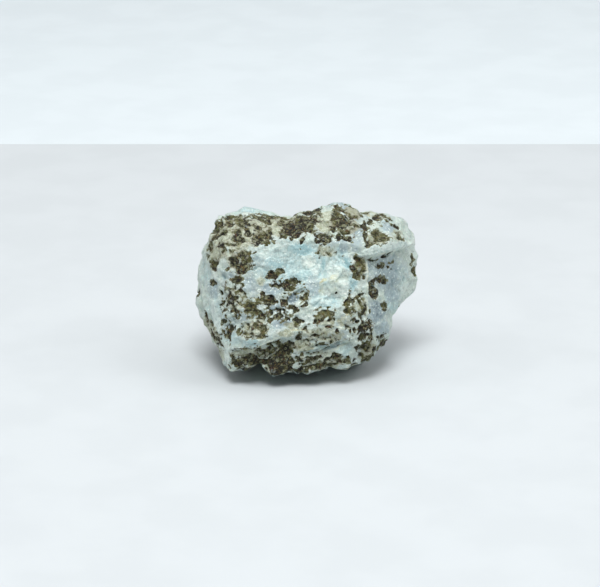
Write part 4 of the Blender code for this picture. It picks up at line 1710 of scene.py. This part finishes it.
@dataclass(frozen=True)
class Wash:
    """The colour of one pale mineral, laid where its mask, broken up by noise, is strong enough."""

    mask: Mask
    tone: Tone
    edge: Span
    middle: float
    fine: float = 0.0
    splinters: float = 0.0

    def strength(self, bench: Bench, noises: dict[str, Value]) -> Value:
        """Find how strongly the colour is laid.

        Args:
            bench: the material's nodes.
            noises: the middle, fine and splinters noise.

        Returns:
            The strength, from 0 to 1.
        """
        height = bench.mask(self.mask)
        for name, noise in noises.items():
            if share := getattr(self, name):
                height = height + noise * share
        return height.step(*self.edge)


@dataclass(frozen=True)
class LarimarFinish:
    """Waxy pale blue pectolite with white splinters, slate-blue glassy spots, cream crust and basalt.

    An edge says where a tone starts and where it is full. A share says how strongly it is laid there.
    """

    pale: Tone = (196, 208, 201)
    mint: Tone = (200, 214, 202)
    mint_edge: Span = (0.2, 0.8)
    white: Tone = (228, 241, 233)
    washes: tuple[Wash, ...] = (
        Wash(Mask.BLUE, (186, 214, 215), (0.0, 0.8), middle=0.4, splinters=0.2),
        Wash(Mask.BLUE, (140, 188, 194), (0.4, 1.4), middle=0.4, splinters=0.3),
        Wash(Mask.SLATE, (160, 178, 182), (0.1, 0.8), middle=0.5, fine=0.3),
        Wash(Mask.SLATE, (116, 134, 141), (0.75, 1.2), middle=0.3),
        Wash(Mask.OCHRE, (206, 202, 154), (0.2, 1.0), middle=0.5),
        Wash(Mask.WHITE, white, (0.1, 1.2), middle=0.4, splinters=0.25),
    )
    cloud: Tone = (180, 192, 196)
    cloud_edge: Span = (0.1, -0.7)
    cloud_share: float = 0.5
    speck_edge: Span = (0.62, 0.1)
    speck_share: float = 0.3
    # Painted glints: tiny white cells that stand in for highlights on crystals.
    glint_edge: Span = (0.88, 1.02)
    glint_share: float = 0.8

    crust: Tone = (164, 171, 149)
    cream: Tone = (210, 219, 200)
    cream_edge: Span = (-0.35, 0.25)
    tan: Tone = (152, 151, 131)
    strata_edge: Span = (0.3, 0.9)
    strata_share: float = 0.6
    rim_edge: Span = (-0.45, -0.05)
    basalt_olive: Tone = (92, 94, 52)
    olive_edge: Span = (-0.14, 0.05)
    basalt_dark: Tone = (27, 26, 14)
    dark_edge: Span = (-0.3, 0.3)
    deep_edge: Span = (-0.22, 0.0)
    rust: Tone = (88, 50, 33)
    rust_edge: Span = (0.14, 0.3)
    rust_share: float = 0.15
    deep_rust_share: float = 0.6
    gold: Tone = (132, 116, 60)
    gold_edge: Span = (0.2, 0.36)
    gold_share: float = 0.6
    basalt_pale: Tone = (152, 156, 122)
    crumb_edge: Span = (0.66, 0.86)
    crumb_share: float = 0.65

    # The size and the share of each kind of cell that makes the basalt's edge angular.
    edge_cells: tuple[Span, ...] = ((0.8, 0.34), (0.42, 0.3))
    basalt_edge: Span = (-0.16, -0.02)
    crust_edge: Span = (0.25, 0.65)
    vein_edge: Span = (0.4, 0.8)
    vein_and_lip_light_share: float = 0.6
    # Painted shade in the hollows of the fine relief: a grey tone on the rock, a blue one on the pale
    # minerals.
    pit_shade: Tone = (96, 98, 92)
    pale_pit_shade: Tone = (168, 196, 200)
    pit_shade_edge: Span = (-0.1, -1.1)
    pit_shade_share: float = 0.7
    # Painted highlight on the peaks of the fine relief.
    peak_light_edge: Span = (0.3, 1.2)
    peak_light_share: float = 0.3

    waxy: float = 0.36
    dull: float = 0.75
    uneven: float = 0.15
    refraction: float = 1.5
    glow: float = 0.18
    glow_reach: Place = (0.6, 0.9, 1.0)
    glow_scale: float = 0.0006
    bump_depth: float = 0.00026

    def pale_minerals(self, bench: Bench) -> bpy.types.NodeSocket:
        """Colour the pale minerals: each zone's own tone, broken up by noise of its own size, and painted
        glints.

        Args:
            bench: the material's nodes.

        Returns:
            The colour's socket.
        """
        coarse = bench.noise(2.2, detail=3)
        middle = bench.noise(0.9, detail=3, shift=5.0)
        fine = bench.noise(0.28, detail=2, shift=9.0)
        splinters = bench.noise(0.6, detail=4, shift=3.0)
        noises = {"middle": middle, "fine": fine, "splinters": splinters}
        colour = bench.mix((coarse + 0.5).step(*self.mint_edge), self.pale, self.mint)
        for wash in self.washes:
            colour = bench.mix(wash.strength(bench, noises), colour, wash.tone)
        cloudy = (middle * 0.8 + fine * 0.5 + splinters * 0.4).step(*self.cloud_edge)
        colour = bench.mix(cloudy * self.cloud_share, colour, self.cloud, "MULTIPLY")
        specks = (bench.grains(0.5) * 0.5 + bench.grains(0.3) * 0.5 + fine * 0.5).step(*self.speck_edge)
        colour = bench.mix(specks * self.speck_share, colour, self.cloud, "MULTIPLY")
        # Painted glints: scattered tiny white cells, a few more of them on the white and slate zones.
        glassy = bench.mask(Mask.WHITE) + bench.mask(Mask.SLATE)
        glints = (bench.grains(0.26) + glassy * 0.05 + fine * 0.1).step(*self.glint_edge)
        return bench.mix(glints * self.glint_share, colour, self.white)

    def rock(self, bench: Bench, depth: Value) -> bpy.types.NodeSocket:
        """Colour the crust and the basalt, grain by grain: cream, tan, olive and dark as it deepens.

        Args:
            bench: the material's nodes.
            depth: how deep a place lies in basalt, in millimetres.

        Returns:
            The colour's socket.
        """
        middle = bench.noise(0.8, detail=3, shift=13.0)
        fine = bench.noise(0.24, detail=2, shift=17.0)
        grains = bench.grains(0.42) - 0.5
        creamy = (middle * 0.6 + fine + grains * 0.6).step(*self.cream_edge)
        crust = bench.mix(creamy, self.crust, self.cream)
        strata = (bench.mask(Mask.SLATE) + middle * 0.6 + fine * 0.3).step(*self.strata_edge)
        crust = bench.mix(strata * self.strata_share, crust, self.tan)
        colour = bench.mix((depth + fine * 0.2).step(*self.rim_edge), crust, self.tan)
        colour = bench.mix((depth + fine * 0.15).step(*self.olive_edge), colour, self.basalt_olive)
        dark = depth * 0.4 + (bench.mask(Mask.SHADE) - 0.5) * 0.9 + middle * 0.5
        dark = dark + fine * 0.6 + grains * 0.7 + (bench.grains(0.7) - 0.5) * 0.5
        deep = depth.step(*self.deep_edge)
        colour = bench.mix(dark.step(*self.dark_edge) * deep, colour, self.basalt_dark)
        rusty = (bench.noise(1.0, detail=2, shift=21.0) * 0.5 + fine * 0.5).step(*self.rust_edge)
        colour = bench.mix(rusty * (deep * self.deep_rust_share + self.rust_share), colour, self.rust)
        golden = bench.noise(0.8, detail=2, shift=51.0) * 0.5 + fine * 0.6 + dark * 0.1
        colour = bench.mix(golden.step(*self.gold_edge) * deep * self.gold_share, colour, self.gold)
        crumbs = (bench.grains(0.42) + fine * 0.3 - depth * 0.1).step(*self.crumb_edge)
        return bench.mix(crumbs * self.crumb_share, colour, self.basalt_pale)

    def dress(self, stone: bpy.types.Object) -> None:
        """Give the stone its material.

        Args:
            stone: the stone, which carries the mineral map.
        """
        bench = Bench("larimar")
        fine = bench.noise(0.22, detail=3, shift=25.0)
        middle = bench.noise(0.9, detail=3, shift=41.0)
        depth = bench.mask(Mask.BASALT)
        for size, share in self.edge_cells:
            depth = depth + (bench.grains(size) - 0.5) * share
        depth = depth + bench.noise(0.5, detail=3, shift=29.0) * 0.25 + fine * 0.1
        basalt = depth.step(*self.basalt_edge)
        rocky = basalt.most((bench.mask(Mask.CRUST) + middle * 0.4).step(*self.crust_edge))
        colour = bench.mix(rocky, self.pale_minerals(bench), self.rock(bench, depth))
        # Cream veins, and on the lips of ledges partly painted highlight.
        vein = bench.mask(Mask.VEIN_AND_LIT_LIP) + bench.noise(0.6, detail=2, shift=33.0) * 0.5
        colour = bench.mix(vein.step(*self.vein_edge) * self.vein_and_lip_light_share, colour, self.cream)
        # Painted shade: the relief layer's hollows are darkened, with one tone for the rock and one for
        # the pale minerals.
        relief = bench.mask(Mask.RELIEF_SHADING)
        shaded = bench.mix(rocky, self.pale_pit_shade, self.pit_shade)
        colour = bench.mix(relief.step(*self.pit_shade_edge) * self.pit_shade_share, colour, shaded, "MULTIPLY")
        # Painted highlight: the relief layer's peaks are whitened.
        colour = bench.mix(relief.step(*self.peak_light_edge) * self.peak_light_share, colour, self.white)
        bench.feed(bench.shader.inputs["Base Color"], colour)
        roughness = basalt * (self.dull - self.waxy) + (self.waxy + fine * self.uneven)
        bench.feed(bench.shader.inputs["Roughness"], roughness)
        rough = (fine * 0.3 + bench.noise(0.7, detail=3, shift=37.0)) * (rocky * 0.5 + 0.5)
        bench.feed(bench.shader.inputs["Normal"], bench.bump(rough, self.bump_depth))
        bench.shader.inputs["IOR"].default_value = self.refraction
        bench.shader.inputs["Subsurface Weight"].default_value = self.glow
        bench.shader.inputs["Subsurface Radius"].default_value = self.glow_reach
        bench.shader.inputs["Subsurface Scale"].default_value = self.glow_scale
        stone.data.materials.append(bench.material)


# ---------------------------------------------------------------- the stone


@dataclass(frozen=True)
class Stone:
    """The one piece: the block, its mineral map, its grain and its finish."""

    face: LeaningFace = LeaningFace()
    lattice: BallLattice = BallLattice()
    block: BrokenBlock = BrokenBlock()
    minerals: MineralMap = MineralMap()
    grain: Grain = Grain()
    finish: LarimarFinish = LarimarFinish()
    name: str = "larimar_stone"
    relief_passes: int = 24
    relief_unit: float = 0.28
    crease_depth: float = 0.32
    crease_width: float = 0.3

    def build(self) -> bpy.types.Object:
        """Make the stone's mesh, dress it, and set it in the place of the solid.

        Returns:
            The stone's object.
        """
        directions, quads = self.lattice.directions(), self.lattice.quads()
        places = self.block.surface(directions, quads)
        skin = Skin(places, normals_of(places, quads))
        layers = self.minerals.layers(skin)
        fine = self.grain.relief(places, layers)
        for *body, rise in FLAKES:
            fine += rise * Blob(*body).flake(skin)
        fine -= self.crease_depth * self.minerals.threads(skin, CREASES, self.crease_width)
        # This layer feeds only the finish's painted shade in hollows and painted light on peaks.
        layers[Mask.RELIEF_SHADING] = (fine - worn(fine, quads, self.relief_passes)) / self.relief_unit
        stone = self.mesh_object(self.face.to_part(places + directions * fine[:, None]), quads, layers)
        self.finish.dress(stone)
        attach(stone, BODY)
        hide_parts(NODE)
        return stone

    def mesh_object(self, places: Array, quads: Array, layers: dict[Mask, Array]) -> bpy.types.Object:
        """Put the points, the quads and the map into a mesh, cut off flat where it would pass the ground.

        Args:
            places: the points in the part's frame, in millimetres.
            quads: the quads that join them.
            layers: the mineral map.

        Returns:
            The new object.
        """
        places[:, 2] = np.maximum(places[:, 2], 0.0)
        mesh = bpy.data.meshes.new(self.name)
        mesh.from_pydata((places * MM).tolist(), [], quads.tolist())
        for mask, values in layers.items():
            attribute = mesh.attributes.new(mask.value, "FLOAT", "POINT")
            attribute.data.foreach_set("value", values.astype(np.float32))
        mesh.shade_smooth()
        stone = bpy.data.objects.new(self.name, mesh)
        bpy.context.scene.collection.objects.link(stone)
        return stone


# ---------------------------------------------------------------- the studio


@dataclass(frozen=True)
class SoftLight:
    """A square soft light that looks at the stone."""

    name: str
    place: Place
    size: float
    power: float

    def hang(self, target: Place) -> None:
        """Make the light and turn it to its target.

        Args:
            target: the place that it looks at, in metres.
        """
        light = bpy.data.lights.new(self.name, "AREA")
        light.shape = "SQUARE"
        light.size = self.size
        light.energy = self.power
        lamp = bpy.data.objects.new(self.name, light)
        lamp.location = self.place
        lamp.rotation_euler = (Vector(target) - Vector(self.place)).to_track_quat("-Z", "Y").to_euler()
        bpy.context.scene.collection.objects.link(lamp)


@dataclass(frozen=True)
class Studio:
    """A pale sheet on a pale table, in soft even light, and the camera."""

    lights: tuple[SoftLight, ...] = (
        SoftLight("ceiling_light", (0.05, 0.38, 0.8), 0.9, 3.0),
        SoftLight("key_light", (-0.06, -0.32, 0.85), 0.42, 6.6),
        SoftLight("left_light", (-0.5, -0.05, 0.45), 0.4, 0.7),
        SoftLight("right_light", (0.5, -0.05, 0.5), 0.4, 1.4),
    )
    target: Place = (0.0, 0.0, 0.014)
    sheet_edge: float = 0.152
    table_drop: float = 0.0006
    half_table: float = 2.5
    sheet_tone: Tone = (205, 211, 214)
    table_tone: Tone = (220, 229, 233)
    mottle_size: float = 18.0
    mottle_edge: Span = (-0.3, 0.3)
    mottle_darker: int = 3
    paper_roughness: float = 0.8
    sky_tone: Tone = (248, 250, 253)
    sky_strength: float = 0.14
    distance: float = 0.55
    sensor: float = 36.0
    view_width: float = 0.12217
    nearest_seen: float = 0.01
    aim: Place = (-1.22, 12.73, 0.0)

    def plane(self, name: str, far: float, height: float, tone: Tone) -> None:
        """Lay a flat pale surface, a little mottled.

        Args:
            name: the surface's name.
            far: where its far edge is, along +Y.
            height: how high it lies.
            tone: its colour.
        """
        half = self.half_table
        corners = [(x, y, height) for x, y in ((-half, -half), (half, -half), (half, far), (-half, far))]
        mesh = bpy.data.meshes.new(name)
        mesh.from_pydata(corners, [], [(0, 1, 2, 3)])
        bench = Bench(name)
        cloudy = bench.noise(self.mottle_size, detail=3).step(*self.mottle_edge)
        darker = tuple(part - self.mottle_darker for part in tone)
        bench.feed(bench.shader.inputs["Base Color"], bench.mix(cloudy, darker, tone))
        bench.shader.inputs["Roughness"].default_value = self.paper_roughness
        mesh.materials.append(bench.material)
        surface = bpy.data.objects.new(name, mesh)
        bpy.context.scene.collection.objects.link(surface)

    def sky(self) -> None:
        """Light the stone evenly from all round."""
        world = bpy.data.worlds.new("soft_light_all_round")
        world.use_nodes = True
        light = world.node_tree.nodes["Background"]
        light.inputs["Color"].default_value = linear(self.sky_tone)
        light.inputs["Strength"].default_value = self.sky_strength
        bpy.context.scene.world = world

    def camera(self, face: LeaningFace) -> None:
        """Set the camera square on to the leaning face.

        Args:
            face: the frame of the leaning face.
        """
        lens = bpy.data.cameras.new("camera")
        lens.sensor_width = self.sensor
        lens.lens = self.sensor * self.distance / self.view_width
        lens.clip_start = self.nearest_seen
        aim = Vector(face.to_part(np.array([self.aim]))[0] * MM)
        back = Vector((0.0, -math.cos(face.lean), math.sin(face.lean)))
        camera = bpy.data.objects.new("camera", lens)
        camera.location = aim + back * self.distance
        camera.rotation_euler = (-back).to_track_quat("-Z", "Y").to_euler()
        bpy.context.scene.collection.objects.link(camera)
        bpy.context.scene.camera = camera

    def build(self, face: LeaningFace) -> None:
        """Lay the surfaces, hang the lights and set the camera.

        Args:
            face: the frame of the leaning face, which the camera looks at.
        """
        self.plane("table", self.half_table, -self.table_drop, self.table_tone)
        self.plane("sheet", self.sheet_edge, 0.0, self.sheet_tone)
        for light in self.lights:
            light.hang(self.target)
        self.sky()
        self.camera(face)
        bpy.context.scene.view_settings.view_transform = "Standard"


def main() -> None:
    """Build the studio and the stone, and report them."""
    logging.basicConfig(level=logging.INFO)
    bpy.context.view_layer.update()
    stone = Stone()
    Studio().build(stone.face)
    piece = stone.build()
    LOG.info("%s: %d faces", piece.name, len(piece.data.polygons))


if __name__ == "__main__":
    main()
